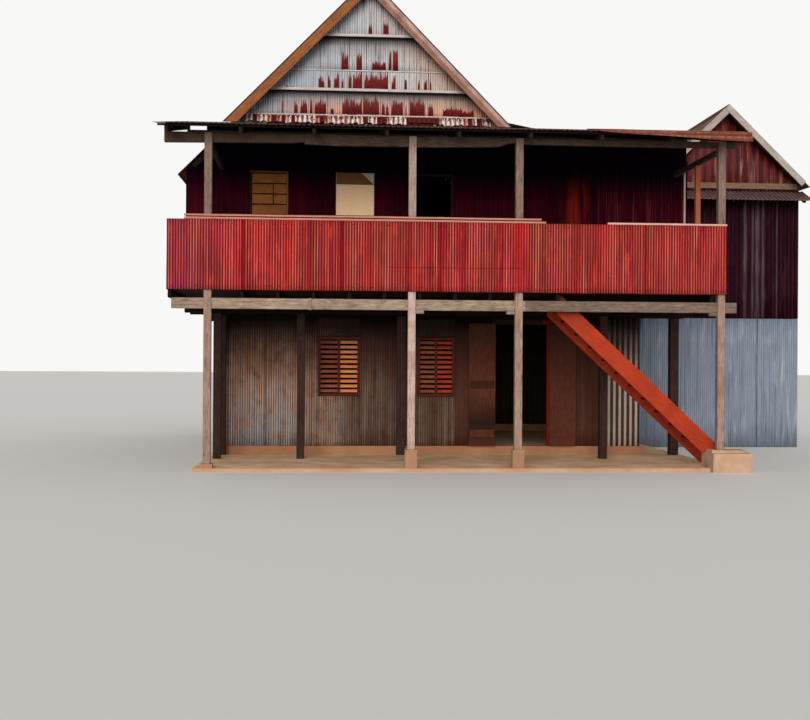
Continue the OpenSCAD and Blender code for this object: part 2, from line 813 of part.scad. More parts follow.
// Sheet laid across the right corner, its waves along the front, over the ends of the others.
// Its front waves droop over the eave, more and more toward the right end.
droop = 53; // [30:1:70]
droop_w = 2 * wide_pitch;
module corner_roof_sheet() {
    l = ux1 + 60 - corner_x;
    color("#8a4436")
        on_veranda_slope()
            translate([corner_x, -eave / cos(veranda_pitch) - 30, rafter_h + batten_t + wide_t + 2 * seat])
                rotate([90, 0, 90])
                    mirror([0, 1, 0]) {
                        wide_sheet(corner_w, l);
                        translate([0, -sheet_t / 2, 0])
                            cylinder(h = l, r = sheet_t, $fn = 16);
                        rotate([0, 0, -droop])
                            intersection() {
                                translate([-droop_w, 0, 0])
                                    wide_sheet(droop_w, l);
                                translate([0, 1, 0])
                                    rotate([90, 0, 0])
                                        linear_extrude(wide_t + 2)
                                            polygon([[0, 0], [0, l], [-droop_w, l], [-20, 0]]);
                            }
                    }
}

// Steep roof

slope_c = cos(main_pitch);
sheet_v = wide_t / slope_c;
batten_v = batten_t / slope_c;
rafter_v = rafter_h / slope_c;

// Frame of reference on one slope: origin on the ridge, x down the slope, z out of the roof
module on_slope(side, y, drop) {
    translate([core_x, y, ridge_z - drop])
        mirror([side < 0 ? 1 : 0, 0, 0])
            rotate([0, main_pitch, 0])
                children();
}

left_len = (core_x - ux0 + 150) / slope_c;
right_len = (aisle_x0 + 60 - core_x) / slope_c;
upper_len = (core_x - main_x(gable_base + 30, -1)) / slope_c;

// Rafters: their places, and where their undersides end at the left wall and past the third row of posts
rafter_ys = [uy0 + 60, mid_y - house_depth / 4, mid_y + 80, mid_y + house_depth / 4, uy1 - 110];
function side_len(side) = (side < 0 ? core_x - ux0 - 60 : px[2] + 165 - core_x) / slope_c
                        - rafter_h * tan(main_pitch);

// The right ends are cut down to lie under the sheets of the aisle
module main_rafters() {
    color(dark_timber)
        for (y = rafter_ys)
            for (side = [-1, 1])
                difference() {
                    on_slope(side, y, sheet_v + batten_v + rafter_v)
                        translate([rafter_h * tan(main_pitch), 0, 0])
                            cube([side_len(side) - rafter_h * tan(main_pitch), rafter_w, rafter_h]);
                    if (side > 0)
                        on_aisle(aisle_x0 - 15, y - 1, wide_t + 3)
                            cube([300, rafter_w + 2, 200]);
                }
}

module main_purlins() {
    color(dark_timber)
        for (side = [-1, 1])
            for (k = [0 : 5])
                let (x = 120 + k * ((side < 0 ? side_len(side) - 60 : right_len - 160) - 120) / 5)
                let (y0 = x + batten_w > upper_len - 60 ? low_y0 : roof_y0 - gap)
                on_slope(side, y0, sheet_v + batten_v)
                    translate([x, 0, 0])
                        cube([batten_w, roof_y1 + gap - y0, batten_t]);
}

// A run of roof sheet on one slope, from a to b down the slope, with its waves along y
module roof_run(side, a, b, y0, y1) {
    on_slope(side, y0, sheet_v)
        translate([a, 0, 0])
            rotate([90, 0, 90])
                mirror([0, 1, 0])
                    wide_sheet(y1 - y0, b - a);
}

module main_roof() {
    color("#7b6a60") {
        roof_run(-1, 30, upper_len, roof_y0, roof_y1);
        roof_run(-1, upper_len + gap, left_len, low_y0, roof_y1);
        roof_run(1, 30, upper_len, roof_y0, low_y0 - gap);
        roof_run(1, 30, right_len, low_y0, roof_y1);
    }
}

// Bent strip over a ridge at x, reaching w to either side
module bent_cap(x, z, y0, y1, pitch, w) {
    fall = w * tan(pitch);
    translate([x, y1, z])
        rotate([90, 0, 0])
            linear_extrude(y1 - y0)
                polygon([[0, 10], [w, 10 - fall], [w, 4 - fall], [0, 4], [-w, 4 - fall], [-w, 10 - fall]]);
}

module ridge_cap() {
    color("#6a5248") {
        bent_cap(core_x, ridge_z, roof_y0, roof_y1, main_pitch, 180);
        bent_cap(wing_x, wing_ridge_z, wing_y0, wing_y1, wing_pitch, 130);
    }
}

// Part of the gable between two heights, cut to the roof slopes
function gable_points(z0, z1) = [
    [main_x(z0 + gable_drop, -1), z0], [main_x(z0 + gable_drop, 1), z0],
    [main_x(z1 + gable_drop, 1), z1], [main_x(z1 + gable_drop, -1), z1]
];
module gable_panel(z0, z1, y) {
    translate([0, y, 0])
        outlined_sheet(gable_points(z0, z1));
}

// Strip across the gable, h high, on the face of the panel whose back is at y
module gable_strip(z, h, t, y) {
    span([main_x(z + h + gable_drop, -1), y - wide_t - t, z],
         [main_x(z + h + gable_drop, 1), y - wide_depth, z + h]);
}

// Lip that closes the step under the panel whose back is at y
module gable_lip(z, y) {
    span([main_x(z + 12 + gable_drop, -1), y - sheet_t, z + gap],
         [main_x(z + 12 + gable_drop, 1), y + panel_step - wide_t - gap, z + 12]);
}

module front_gable() {
    color("#b9b2a6") {
        gable_panel(upper_top + gap, step_low, gable_y);
        gable_panel(step_low + gap, step_high, gable_y - panel_step);
        gable_panel(step_high + gap, gable_tip, gable_y - 2 * panel_step);
        gable_lip(step_low, gable_y - panel_step);
        gable_lip(step_high, gable_y - 2 * panel_step);
        gable_strip(step_low + gap, 36, 6, gable_y - panel_step);
        gable_strip(step_high + gap, 36, 6, gable_y - 2 * panel_step);
        gable_strip(step_mid, 22, 5, gable_y - panel_step);
        gable_strip(gable_lap, 22, 5, gable_y);
    }
}

// Flashing along the foot of the gable, bent out over the veranda roof
flash_run = 62;
flash_y = gable_y - wide_t - gap - flash_run;
flash_z = veranda_z(flash_y) + roof_build + wide_t / cos(veranda_pitch) + 0.5;
module gable_flashing() {
    x0 = main_x(gable_lap + 12 + gable_drop, -1);
    x1 = main_x(gable_lap + 12 + gable_drop, 1);
    h = gable_lap - 8 - flash_z;
    pitch = atan(h / flash_run);
    color("#b9b2a6")
        translate([x0, flash_y, flash_z])
            rotate([pitch, 0, 0])
                laid_sheet(x1 - x0, flash_run / cos(pitch));
}

module back_gable() {
    z0 = back_split + gap;
    edge = aisle_x0 - gap;
    color("#8f7f72")
        translate([0, uy1, 0])
            mirror([0, 1, 0]) {
                outlined_sheet([
                    [main_x(z0 + gable_drop, -1), z0], [edge, z0], [edge, main_z(edge) - gable_drop],
                    [main_x(gable_tip + gable_drop, 1), gable_tip], [main_x(gable_tip + gable_drop, -1), gable_tip]
                ]);
                outlined_sheet([
                    [aisle_x0, z0], [ux1, z0], [ux1, aisle_z(ux1) - wide_t - batten_t - 10],
                    [aisle_x0, aisle_top - wide_t - batten_t - 10]
                ]);
            }
}

// The front boards run down to the veranda roof and are cut level just above it
barge_foot = veranda_z(roof_y0) + roof_build + wide_t / cos(veranda_pitch) + 4;
module bargeboard(side, y, length) {
    start = side < 0 ? 160 : 0;
    on_slope(side, y, 0)
        translate([start, 0, -150])
            cube([length - start, 20, 160]);
}
module bargeboards() {
    color("#8d7f74")
        for (side = [-1, 1]) {
            intersection() {
                bargeboard(side, roof_y0 - gap - 20, upper_len + 300);
                span([ux0 - 500, roof_y0 - 100, barge_foot], [ux1 + 500, roof_y0, ridge_z + 100]);
            }
            bargeboard(side, roof_y1 + gap, side < 0 ? left_len : right_len);
        }
}

// Low roof over the aisle, falling to the right; z is measured down from its outer surface
module on_aisle(x, y, drop) {
    translate([aisle_x0, y, aisle_top - drop / cos(aisle_pitch)])
        rotate([0, aisle_pitch, 0])
            translate([(x - aisle_x0) / cos(aisle_pitch), 0, 0])
                children();
}

module aisle_rafters() {
    color(dark_timber)
        for (y = rafter_ys)
            on_aisle(aisle_x0 + 80, y + rafter_w + seat, aisle_build)
                cube([(ux1 - aisle_x0 - 110) / cos(aisle_pitch), rafter_w, rafter_h]);
}

module aisle_battens() {
    color(dark_timber)
        for (k = [0 : 3])
            on_aisle(aisle_x0 + 150 + k * (ux1 - aisle_x0 - 230) / 3, low_y0 + 10, wide_t + batten_t - seat)
                cube([batten_w, uy1 + 180 - low_y0 - 10, batten_t - 2 * seat]);
}

module aisle_roof() {
    color("#7a5348")
        on_aisle(aisle_x0, low_y0, wide_t)
            rotate([90, 0, 90])
                mirror([0, 1, 0])
                    wide_sheet(uy1 + 200 - low_y0, (aisle_x1 - aisle_x0) / cos(aisle_pitch));
}

// Stair

module stringer(y, foot) {
    x1 = stair_x(foot);
    x0 = stair_x(foot + stringer_v);
    translate([0, y + stringer_t, 0])
        rotate([90, 0, 0])
            linear_extrude(stringer_t)
                polygon([
                    [stair_head_x, floor_z - stringer_v], [x0, foot], [x1, foot], [stair_head_x, floor_z]
                ]);
}

tread_w = rise / tan(stair_pitch) + 20;
module tread(k) {
    z = block_h + k * rise;
    x = stair_x(z) + 25;
    span([x - tread_w, stair_y0 + stringer_t - housing, z - tread_t],
         [x, stair_y1 + housing, z]);
}

module stair_stringers() {
    color("#b0492a")
        difference() {
            union() {
                stringer(stair_y0, block_h);
                stringer(stair_y1, slab_t);
            }
            for (k = [1 : steps - 1])
                tread(k);
        }
}

module stair_treads() {
    color("#8e3a26")
        for (k = [1 : steps - 1])
            tread(k);
}

// Wing

module wing_frame() {
    color(dark_timber)
        for (x = [wx0 + 90, wx1 - 90]) {
            for (y = [wy0 + 90, wy1 - 90])
                stick(x, y, 0, wing_plate_z - 100, 120);
            span([x - 50, wy0, wing_plate_z - 100], [x + 50, wy1, wing_plate_z]);
        }
}

module wing_floor() {
    color(dark_timber)
        difference() {
            span([wx0, wy0 + 5, floor_z - 100], [wx1, wy1 - 5, floor_z]);
            for (x = [wx0 + 90, wx1 - 90], y = [wy0 + 90, wy1 - 90])
                stick(x, y, 0, wing_plate_z, 120);
        }
}

// Four walls of the wing between two heights
module wing_walls(z0, z1) {
    h = z1 - z0;
    translate([wx0, wy0, z0])
        wide_sheet(wing_w, h);
    translate([wx1, wy0 + 5, z0])
        rotate([0, 0, 90])
            wide_sheet(wing_depth - 10, h);
    translate([wx1, wy1, z0])
        rotate([0, 0, 180])
            wide_sheet(wing_w, h);
}

module wing_ground_walls() { color(zinc) wing_walls(0, wing_split_z - gap); }
module wing_upper_walls() { color(dark_red) wing_walls(wing_split_z, wing_top); }

function wing_roof_x(z, side) = wing_x + side * (wing_ridge_z - wing_drop - 5 - z) / tan(wing_pitch);

module wing_gables() {
    z0 = wing_top + gap;
    z1 = wing_ridge_z - 200;
    color(dark_red)
        for (y = [wy0, wy1])
            translate([0, y + (y == wy0 ? 0 : 12), 0])
                rotate([90, 0, 0])
                    linear_extrude(12)
                        polygon([
                            [wx0, z0], [wx1, z0], [wx1, wing_z(wx1) - wing_drop - 5], [wing_roof_x(z1, 1), z1],
                            [wing_roof_x(z1, -1), z1], [wx0, wing_z(wx0) - wing_drop - 5]
                        ]);
}

// Frame of reference on one slope of the wing roof: origin on the ridge, x down the slope
module on_wing(side, y, drop) {
    translate([wing_x, y, wing_ridge_z - drop])
        mirror([side < 0 ? 1 : 0, 0, 0])
            rotate([0, wing_pitch, 0])
                children();
}

wing_len = (wing_w / 2 - 20) / cos(wing_pitch);
wing_y0 = wy0 - 300;
wing_y1 = wy1 + 200;

// Rafters of the wing, and the brackets under its skirt roof
module wing_rafters() {
    h = wing_rafter_h;
    cut = h * tan(wing_pitch);
    color(dark_timber) {
        for (y = [wy0 + 10, wy0 + wing_depth / 3, wy1 - wing_depth / 3, wy1 - 60], side = [-1, 1])
            on_wing(side, y, wing_drop + h / cos(wing_pitch))
                translate([cut, 0, 0])
                    cube([wing_len - 2 * cut, 50, h]);
        for (x = [wx0 + 60, wing_x, wx1 - 110])
            on_skirt(x)
                translate([0, 36, -60])
                    cube([50, skirt_run / cos(skirt_pitch) - 80, 50]);
    }
}

module wing_battens() {
    color(dark_timber)
        for (side = [-1, 1], k = [0 : 3])
            on_wing(side, wing_y0, wing_drop)
                translate([80 + k * (wing_len - 230) / 3, 0, 0])
                    cube([batten_w, wing_y1 - wing_y0 - 20, batten_t]);
}

module wing_roof() {
    color("#7b6a60")
        for (side = [-1, 1])
            on_wing(side, wing_y0, wide_t / cos(wing_pitch))
                translate([30, 0, 0])
                    rotate([90, 0, 90])
                        mirror([0, 1, 0])
                            wide_sheet(wing_y1 - wing_y0, wing_len + (side > 0 ? 150 : 0) - 30);
}

// Frame of reference on the skirt roof: x along the wall, y down the slope, z out of it
module on_skirt(x) {
    translate([x, wy0 - wide_t - 3, wing_top - 10])
        rotate([skirt_pitch, 0, 0])
            mirror([0, 1, 0])
                children();
}

module wing_skirt_roof() {
    color("#75665c")
        on_skirt(wx0)
            translate([0, 5, -10])
                laid_sheet(wing_w + 60, skirt_run / cos(skirt_pitch));
}

// Board across the foot of the wing's front gable, and the bargeboards of its verges
module wing_board() {
    color("#a89c8c") {
        span([wx0 + 80, wy0 - wide_t - 25, wing_top + 20], [wx1 - 40, wy0 - wide_t, wing_top + 128]);
        for (side = [-1, 1])
            on_wing(side, wing_y0 - 20, 0)
                translate([side < 0 ? 110 : 0, 0, -110])
                    cube([wing_len + (side > 0 ? 150 : 0) - 110, 20, 115]);
    }
}

ground_slab();
wall_kerb();
post_plinths();
stair_foot_block();
front_posts();
inner_posts();
front_floor_beam();
floor_beams();
beam_wedges();
floor_joists();
veranda_floor();
house_floor();
parapet_frame();
parapet_front();
parapet_ends();
parapet_rails();
upper_posts();
upper_wall_frame();
roof_frame();
upper_front_wall();
upper_rear_walls();
plank_shutter();
board_shutter();
upper_door_frame();
corner_trim();
ground_wall_frame();
ground_front_wall();
ground_rear_walls();
louvre_windows();
door_frame();
door_pintles();
door_leaf_left();
door_leaf_right();
veranda_plate();
veranda_rafters();
veranda_roof();
corner_roof_sheet();
main_rafters();
main_purlins();
main_roof();
ridge_cap();
front_gable();
gable_flashing();
back_gable();
bargeboards();
aisle_rafters();
aisle_battens();
aisle_roof();
stair_stringers();
stair_treads();
wing_frame();
wing_floor();
wing_ground_walls();
wing_upper_walls();
wing_gables();
wing_rafters();
wing_battens();
wing_roof();
wing_skirt_roof();
wing_board();
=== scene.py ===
"""Looks of the timber stilt house: its corrugated sheets, timbers, paint and rust."""
import math
import random

import bmesh
import bpy
import numpy as np
from mathutils import Matrix, Vector


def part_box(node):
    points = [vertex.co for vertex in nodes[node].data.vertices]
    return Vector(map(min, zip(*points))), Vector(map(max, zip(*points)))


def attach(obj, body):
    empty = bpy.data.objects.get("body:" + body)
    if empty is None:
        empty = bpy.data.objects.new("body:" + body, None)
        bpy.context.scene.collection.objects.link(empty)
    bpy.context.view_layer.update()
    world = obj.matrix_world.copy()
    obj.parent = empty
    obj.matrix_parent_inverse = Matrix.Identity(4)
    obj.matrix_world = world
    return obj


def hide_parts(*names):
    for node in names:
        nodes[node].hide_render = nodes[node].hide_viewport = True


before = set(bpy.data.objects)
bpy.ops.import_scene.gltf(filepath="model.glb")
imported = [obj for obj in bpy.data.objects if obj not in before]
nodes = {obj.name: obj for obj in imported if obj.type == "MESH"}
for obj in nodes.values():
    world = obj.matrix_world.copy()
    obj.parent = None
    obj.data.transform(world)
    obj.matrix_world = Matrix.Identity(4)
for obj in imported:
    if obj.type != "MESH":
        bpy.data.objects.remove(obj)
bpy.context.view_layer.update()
HOUSE = "house"

# Common directions
EAST = Vector((1, 0, 0))
UP = Vector((0, 0, 1))

# Sheet metal, in metres: its thickness, and the waves of each sort as (length, depth)
SHEET_T = 0.0012
FINE_WAVE = 0.038
FINE = (FINE_WAVE, 0.009)
FLAT_FINE = (FINE_WAVE, 0.004)
GABLE_FINE = (FINE_WAVE, 0.011)
BROAD = (0.09, 0.009)
WIDE_WAVE = 0.076
WIDE_DEPTH = 0.016
WIDE = (WIDE_WAVE, WIDE_DEPTH)
FLAT_WIDE = (WIDE_WAVE, 0.012)
BOARDS = (WIDE_WAVE * 2, 0.008)

# How much of each sheet shows, how a sheet lies over the next and how far out of flat sheets are
SKIRT_COVER = 0.693
WALL_COVER = 0.76
ROOF_COVER = 0.836
BROAD_COVER = 0.63
SIDE_LAP_LIFT = SHEET_T * 1.5
COURSE_LAP = 0.1
COURSE_LIFT = 0.004
DENT = 0.0015

# Sheets narrower or shorter than this are left out
NARROWEST = 0.012
SHORTEST = 0.004

# Roof slopes, in degrees, and the main roof's ridge
VERANDA_PITCH = 12.0
MAIN_PITCH = 45.5
AISLE_PITCH = 10.6
WING_PITCH = 44.0
SKIRT_ROOF_PITCH = 25.0
RIDGE_X = -1.36
RIDGE_Z = 7.54

# The gable's tiers: heights of the two lips that step forward, and of the seams between courses
LOW_LIP = 5.831
HIGH_LIP = 6.683
LOW_SEAM = 5.455
HIGH_SEAM = 6.155
# Painted shadow under the two lips: each lip's height and how far the painted shadow reaches below
PAINTED_LIP_SHADOWS = ((LOW_LIP + 0.001, 0.13), (HIGH_LIP, 0.15))

# Single marks: the skirt's level seam above its foot and its middle, the stain upstairs
SKIRT_SEAM_RISE = 0.335
SKIRT_SEAM_X = -0.2
STAIN_X = 2.04


def extent(points):
    """Lowest and highest corner of some points."""
    return (Vector(min(p[i] for p in points) for i in range(3)),
            Vector(max(p[i] for p in points) for i in range(3)))


class Work:
    """Points, faces and per-point values of one piece while it is being made."""

    def __init__(self):
        self.points = []
        self.faces = []
        self.values = {}
        self.count = 0

    def add(self, points, faces, **values):
        """Adds one closed form; each value is one number, or one number for each point."""
        points = np.asarray(points, float)
        self.points.append(points)
        self.faces.extend([tuple(int(i) + self.count for i in face) for face in faces])
        for name, value in values.items():
            column = np.full(len(points), value) if np.isscalar(value) else np.asarray(value, float)
            self.values.setdefault(name, []).append(column)
        self.count += len(points)

    def piece(self, name, material, replaced, body=HOUSE, smooth=False, slot=None):
        """Makes the piece, riding on its body in place of the node that it stands for."""
        mesh = bpy.data.meshes.new(name)
        mesh.from_pydata(np.concatenate(self.points).tolist(), [], self.faces)
        for key, columns in self.values.items():
            mesh.attributes.new(key, "FLOAT", "POINT").data.foreach_set("value", np.concatenate(columns))
        mesh.update()
        if smooth:
            mesh.shade_smooth()
        mesh.materials.append(material)
        made = bpy.data.objects.new(name, mesh)
        bpy.context.scene.collection.objects.link(made)
        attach(made, body)
        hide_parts(replaced)


# Corrugated sheet


class Plane:
    """A wall or slope: u runs across the sheets, v along them, n out of the building."""

    def __init__(self, origin, across, along):
        self.origin = np.array(origin, float)
        self.across = np.array(across, float)
        self.along = np.array(along, float)
        self.out = np.cross(self.across, self.along)

    def place(self, u, v, n):
        """Points in the frame for arrays of u, v and n."""
        return (self.origin + np.multiply.outer(u, self.across) + np.multiply.outer(v, self.along)
                + np.multiply.outer(n, self.out))

    def read(self, points):
        """u, v and n of points of the frame."""
        local = np.array(points) - self.origin
        return local @ self.across, local @ self.along, local @ self.out


def slope_plane(facing, pitch=0.0):
    """The plane through the frame's origin of a wall, or of a roof slope with a pitch, that looks one way."""
    c, s = math.cos(math.radians(pitch)), math.sin(math.radians(pitch))
    across = {"front": (1, 0, 0), "back": (-1, 0, 0), "left": (0, -1, 0), "right": (0, 1, 0)}[facing]
    if not pitch:
        return Plane((0, 0, 0), across, (0, 0, 1))
    along = {"front": (0, c, s), "back": (0, -c, s), "left": (c, 0, s), "right": (-c, 0, s)}[facing]
    return Plane((0, 0, 0), across, along)


FRONT = slope_plane("front")


def grid_faces(columns, rows, start, flip):
    """Quads of a grid of points counted row by row within each column."""
    faces = []
    for i in range(columns - 1):
        for j in range(rows - 1):
            a = start + i * rows + j
            quad = (a, a + rows, a + rows + 1, a + 1)
            faces.append(quad[::-1] if flip else quad)
    return faces


def rim_faces(columns, rows, back):
    """Quads that close the edge between the front grid and the back grid."""
    ring = [i * rows for i in range(columns)]
    ring += [(columns - 1) * rows + j for j in range(1, rows)]
    ring += [i * rows + rows - 1 for i in range(columns - 2, -1, -1)]
    ring += [j for j in range(rows - 2, 0, -1)]
    return [(a, a + back, b + back, b) for a, b in zip(ring, ring[1:] + ring[:1])]


def sheet(work, plane, u0, u1, foot, head, waves, lift, tone, rows, steps=6, dent=DENT, line=None):
    """One corrugated sheet between u0 and u1; foot and head give its ends for each u.

    Line gives one more value for each u: dark marks, or how high the paint has peeled.
    """
    wave, depth = waves
    u = np.linspace(u0, u1, max(2, round((u1 - u0) / wave * steps) + 1))
    v0 = np.array([foot(x) for x in u])
    v1 = np.array([head(x) for x in u])
    keep = v1 > v0 + SHORTEST
    if keep.sum() < 3:
        return
    u, v0, v1 = u[keep], v0[keep], v1[keep]
    count = len(u)
    t = np.linspace(0, 1, rows)
    uu = np.repeat(u, rows)
    vv = np.concatenate([a + (b - a) * t for a, b in zip(v0, v1)])
    crest = 0.5 + 0.5 * np.cos(uu / wave * math.tau)
    phase = tone * 40.0
    sag = dent * (np.sin(uu * 7.3 + phase) * np.sin(vv * 5.1 + phase * 1.7) + 1)
    outer = lift + SHEET_T + crest * (depth - dent) + sag
    points = np.concatenate([plane.place(uu, vv, outer), plane.place(uu, vv, outer - SHEET_T)])
    back = count * rows
    faces = grid_faces(count, rows, 0, False) + grid_faces(count, rows, back, True)
    faces += rim_faces(count, rows, back)
    extra = np.repeat([line(x) for x in u], rows) if line else np.zeros(len(uu))
    work.add(points, faces, crest=np.tile(crest, 2), tone=tone, foot=np.tile(vv - np.repeat(v0, rows), 2),
             side=np.tile(uu, 2), line=np.tile(extra, 2))


def sheet_row(work, plane, u0, u1, foot, head, waves, cover, seed, rows=8, slip=0.005, lift=0.0, start=0.0,
              dent=DENT, tone=None, line=None):
    """Sheets side by side from u0 to u1, lapped by one wave, with their ends a little out of line."""
    for index in range(math.floor((u0 - start) / cover), math.ceil((u1 - start) / cover)):
        left = start + index * cover
        a, b = max(left, u0), min(left + cover + waves[0], u1)
        draw = random.Random(seed * 1009 + index)
        shade, drop, lean = draw.random(), abs(draw.uniform(-slip, slip)), draw.uniform(-slip, slip)
        middle = (a + b) / 2
        if b - a > NARROWEST:
            sheet(work, plane, a, b,
                  lambda x: foot(x) + drop + lean * (x - middle), lambda x: head(x) - abs(lean) * 0.5,
                  waves, lift + (index % 2) * SIDE_LAP_LIFT, shade if tone is None else tone, rows,
                  dent=dent, line=line)


def level(height):
    """A foot or head at one height all along."""
    return lambda x: height


def dark_marks(*marks):
    """The line value for marks, each a place and half a width."""
    return lambda x: max(min(max(1.6 - abs(x - place) / half, 0.0), 1.0) for place, half in marks)


# Timber


def timber(work, start, end, width, height, up=UP, chamfer=0.006, wobble=0.002, seed=0):
    """A sawn timber from start to end, a little uneven, with worn edges."""
    start, end = Vector(start), Vector(end)
    axis = end - start
    length = axis.length
    axis.normalize()
    side = axis.cross(Vector(up)).normalized()
    top = side.cross(axis).normalized()
    draw = random.Random(seed * 7919 + round(length * 1000))
    rings = max(2, min(60, round(length / 0.12)))
    w, h, c = width / 2, height / 2, chamfer
    outline = [(-w + c, -h), (w - c, -h), (w, -h + c), (w, h - c)]
    outline += [(-x, -z) for x, z in outline]
    phases = [draw.uniform(0, math.tau) for _ in range(4)]
    shift = draw.uniform(0, 50)
    points, along, across, tall = [], [], [], []
    for i in range(rings + 1):
        t = i / rings * length
        dx = wobble * (math.sin(t * 2.1 + phases[0]) + 0.5 * math.sin(t * 5.3 + phases[1])) / 1.5
        dz = wobble * (math.sin(t * 1.7 + phases[2]) + 0.5 * math.sin(t * 4.7 + phases[3])) / 1.5
        for x, z in outline:
            k = 1 - draw.uniform(0, wobble) / max(w, h) * 0.6
            point = start + axis * t + side * (x * k + dx * 0.4) + top * (z * k + dz * 0.4)
            points.append(point[:])
            along.append(t + shift)
            across.append(x + shift)
            tall.append(z + shift)
    n = len(outline)
    faces = []
    for i in range(rings):
        for k in range(n):
            a, b = i * n + k, i * n + (k + 1) % n
            faces.append((a, b, b + n, a + n))
    faces.append(tuple(range(n))[::-1])
    faces.append(tuple(rings * n + k for k in range(n)))
    work.add(points, faces, along=along, across=across, tall=tall, tone=draw.random())


def box_timber(work, low, high, **options):
    """A timber that fills the box between two corners, its grain along the longest side."""
    low, high = Vector(low), Vector(high)
    size = high - low
    longest = max(range(3), key=lambda i: size[i])
    start = (low + high) / 2
    end = start.copy()
    start[longest], end[longest] = low[longest], high[longest]
    if longest == 2:
        timber(work, start, end, size[1], size[0], up=EAST, **options)
    else:
        timber(work, start, end, size[1 - longest], size[2], **options)


# Colours and nodes


def rgb(tone, share=1.0):
    """A screen colour, 0 to 255 a channel, as the shader wants it; a share below one darkens it."""
    levels = [value / 255 for value in tone]
    return [(v / 12.92 if v <= 0.04045 else ((v + 0.055) / 1.055) ** 2.4) * share for v in levels] + [1.0]


class Nodes:
    """Adds and joins the nodes of one tree."""

    def __init__(self, tree):
        self.tree = tree

    def set(self, socket, value):
        """Joins an input to an output, or gives it a value."""
        if isinstance(value, bpy.types.NodeSocket):
            self.tree.links.new(value, socket)
        else:
            socket.default_value = value

    def add(self, kind, inputs=None, **settings):
        """A node with its settings; an input is a value or an output to join it to."""
        node = self.tree.nodes.new(kind)
        for key, value in settings.items():
            setattr(node, key, value)
        for key, value in (inputs or {}).items():
            self.set(node.inputs[key], value)
        return node

    def math(self, operation, a, b=0.0):
        """A sum on one or two numbers."""
        return self.add("ShaderNodeMath", {0: a, 1: b}, operation=operation).outputs[0]

    def times(self, *values):
        """The product of some numbers."""
        product = values[0]
        for value in values[1:]:
            product = self.math("MULTIPLY", product, value)
        return product

    def distance(self, value, middle):
        """How far a number is from a middle, either way."""
        return self.math("ABSOLUTE", self.math("SUBTRACT", value, middle))

    def vector(self, operation, a, b):
        """A sum on two vectors, where a number counts for all three directions."""
        return self.add("ShaderNodeVectorMath", {0: a, 1: b}, operation=operation).outputs[0]

    def join(self, x, y, z=0.0):
        """Three numbers as one vector."""
        return self.add("ShaderNodeCombineXYZ", {0: x, 1: y, 2: z}).outputs[0]

    def ramp(self, value, low, high, to_low=0.0, to_high=1.0):
        """Value mapped from low..high to to_low..to_high, clamped."""
        inputs = {"Value": value, "From Min": low, "From Max": high, "To Min": to_low, "To Max": to_high}
        return self.add("ShaderNodeMapRange", inputs).outputs["Result"]

    def mix(self, factor, a, b):
        """Colour a mixed with colour b; a tuple is a screen colour."""
        node = self.add("ShaderNodeMix", data_type="RGBA")
        for socket, value in zip([s for s in node.inputs if s.enabled], (factor, a, b)):
            self.set(socket, rgb(value) if isinstance(value, tuple) else value)
        return next(s for s in node.outputs if s.enabled)

    def value(self, name):
        """A number that the piece holds at each point."""
        return self.add("ShaderNodeAttribute", attribute_name=name).outputs["Fac"]

    def point(self):
        """The point in the frame."""
        return self.add("ShaderNodeTexCoord").outputs["Object"]

    def place(self):
        """X, Y and Z of the point in the frame."""
        return self.add("ShaderNodeSeparateXYZ", {0: self.point()}).outputs

    def cloud(self, place, detail, roughness=0.5, distortion=0.0):
        """Soft noise, about one blotch to each unit of place."""
        return self.add("ShaderNodeTexNoise", {
            "Vector": place, "Scale": 1.0, "Detail": detail, "Roughness": roughness,
            "Distortion": distortion}).outputs["Fac"]

    def chance(self, number):
        """A chance value for each whole number."""
        return self.add("ShaderNodeTexWhiteNoise", {"W": number}, noise_dimensions="1D").outputs["Value"]

    def group(self, tree, **inputs):
        """A shared group placed with its own values."""
        node = self.add("ShaderNodeGroup", node_tree=tree)
        for key, value in inputs.items():
            self.set(node.inputs[key.title()], value)
        return node.outputs


# Effects that several finishes share


def new_group(name, inputs, outputs):
    """An empty shared group with named numbers as inputs and outputs."""
    tree = bpy.data.node_groups.new(name, "ShaderNodeTree")
    for key, value in inputs.items():
        tree.interface.new_socket(key, in_out="INPUT", socket_type="NodeSocketFloat").default_value = value
    for key in outputs:
        tree.interface.new_socket(key, in_out="OUTPUT", socket_type="NodeSocketFloat")
    build = Nodes(tree)
    return build, build.add("NodeGroupInput").outputs, build.add("NodeGroupOutput").inputs


def streak_group():
    """Narrow marks that run down the surface, as rain and rust leave them."""
    inputs = {"Width": 0.05, "Length": 1.0, "Low": 0.4, "High": 0.7, "Seed": 0.0}
    build, given, result = new_group("streaks", inputs, ["Mask"])
    place = build.place()
    x, y = (build.math("DIVIDE", place[axis], given["Width"]) for axis in ("X", "Y"))
    drawn_out = build.join(x, y, build.math("DIVIDE", place["Z"], given["Length"]))
    cloud = build.cloud(build.vector("ADD", drawn_out, given["Seed"]), 3.0, 0.6)
    build.set(result["Mask"], build.ramp(cloud, given["Low"], given["High"]))
    return build.tree


def patch_group():
    """Soft blotches of one size."""
    inputs = {"Size": 0.3, "Low": 0.45, "High": 0.6, "Seed": 0.0}
    build, given, result = new_group("patches", inputs, ["Mask"])
    scaled = build.vector("DIVIDE", build.point(), given["Size"])
    cloud = build.cloud(build.vector("ADD", scaled, given["Seed"]), 5.0, 0.62)
    build.set(result["Mask"], build.ramp(cloud, given["Low"], given["High"]))
    return build.tree


def row_group():
    """A soft change along a row of sheets, and hardly any up them."""
    inputs = {"Size": 0.4, "Low": 0.4, "High": 0.6, "Seed": 0.0}
    build, given, result = new_group("row", inputs, ["Mask"])
    along = build.math("DIVIDE", build.value("side"), given["Size"])
    place = build.join(along, build.times(build.value("foot"), 0.5), given["Seed"])
    build.set(result["Mask"], build.ramp(build.cloud(place, 3.0, 0.6), given["Low"], given["High"]))
    return build.tree


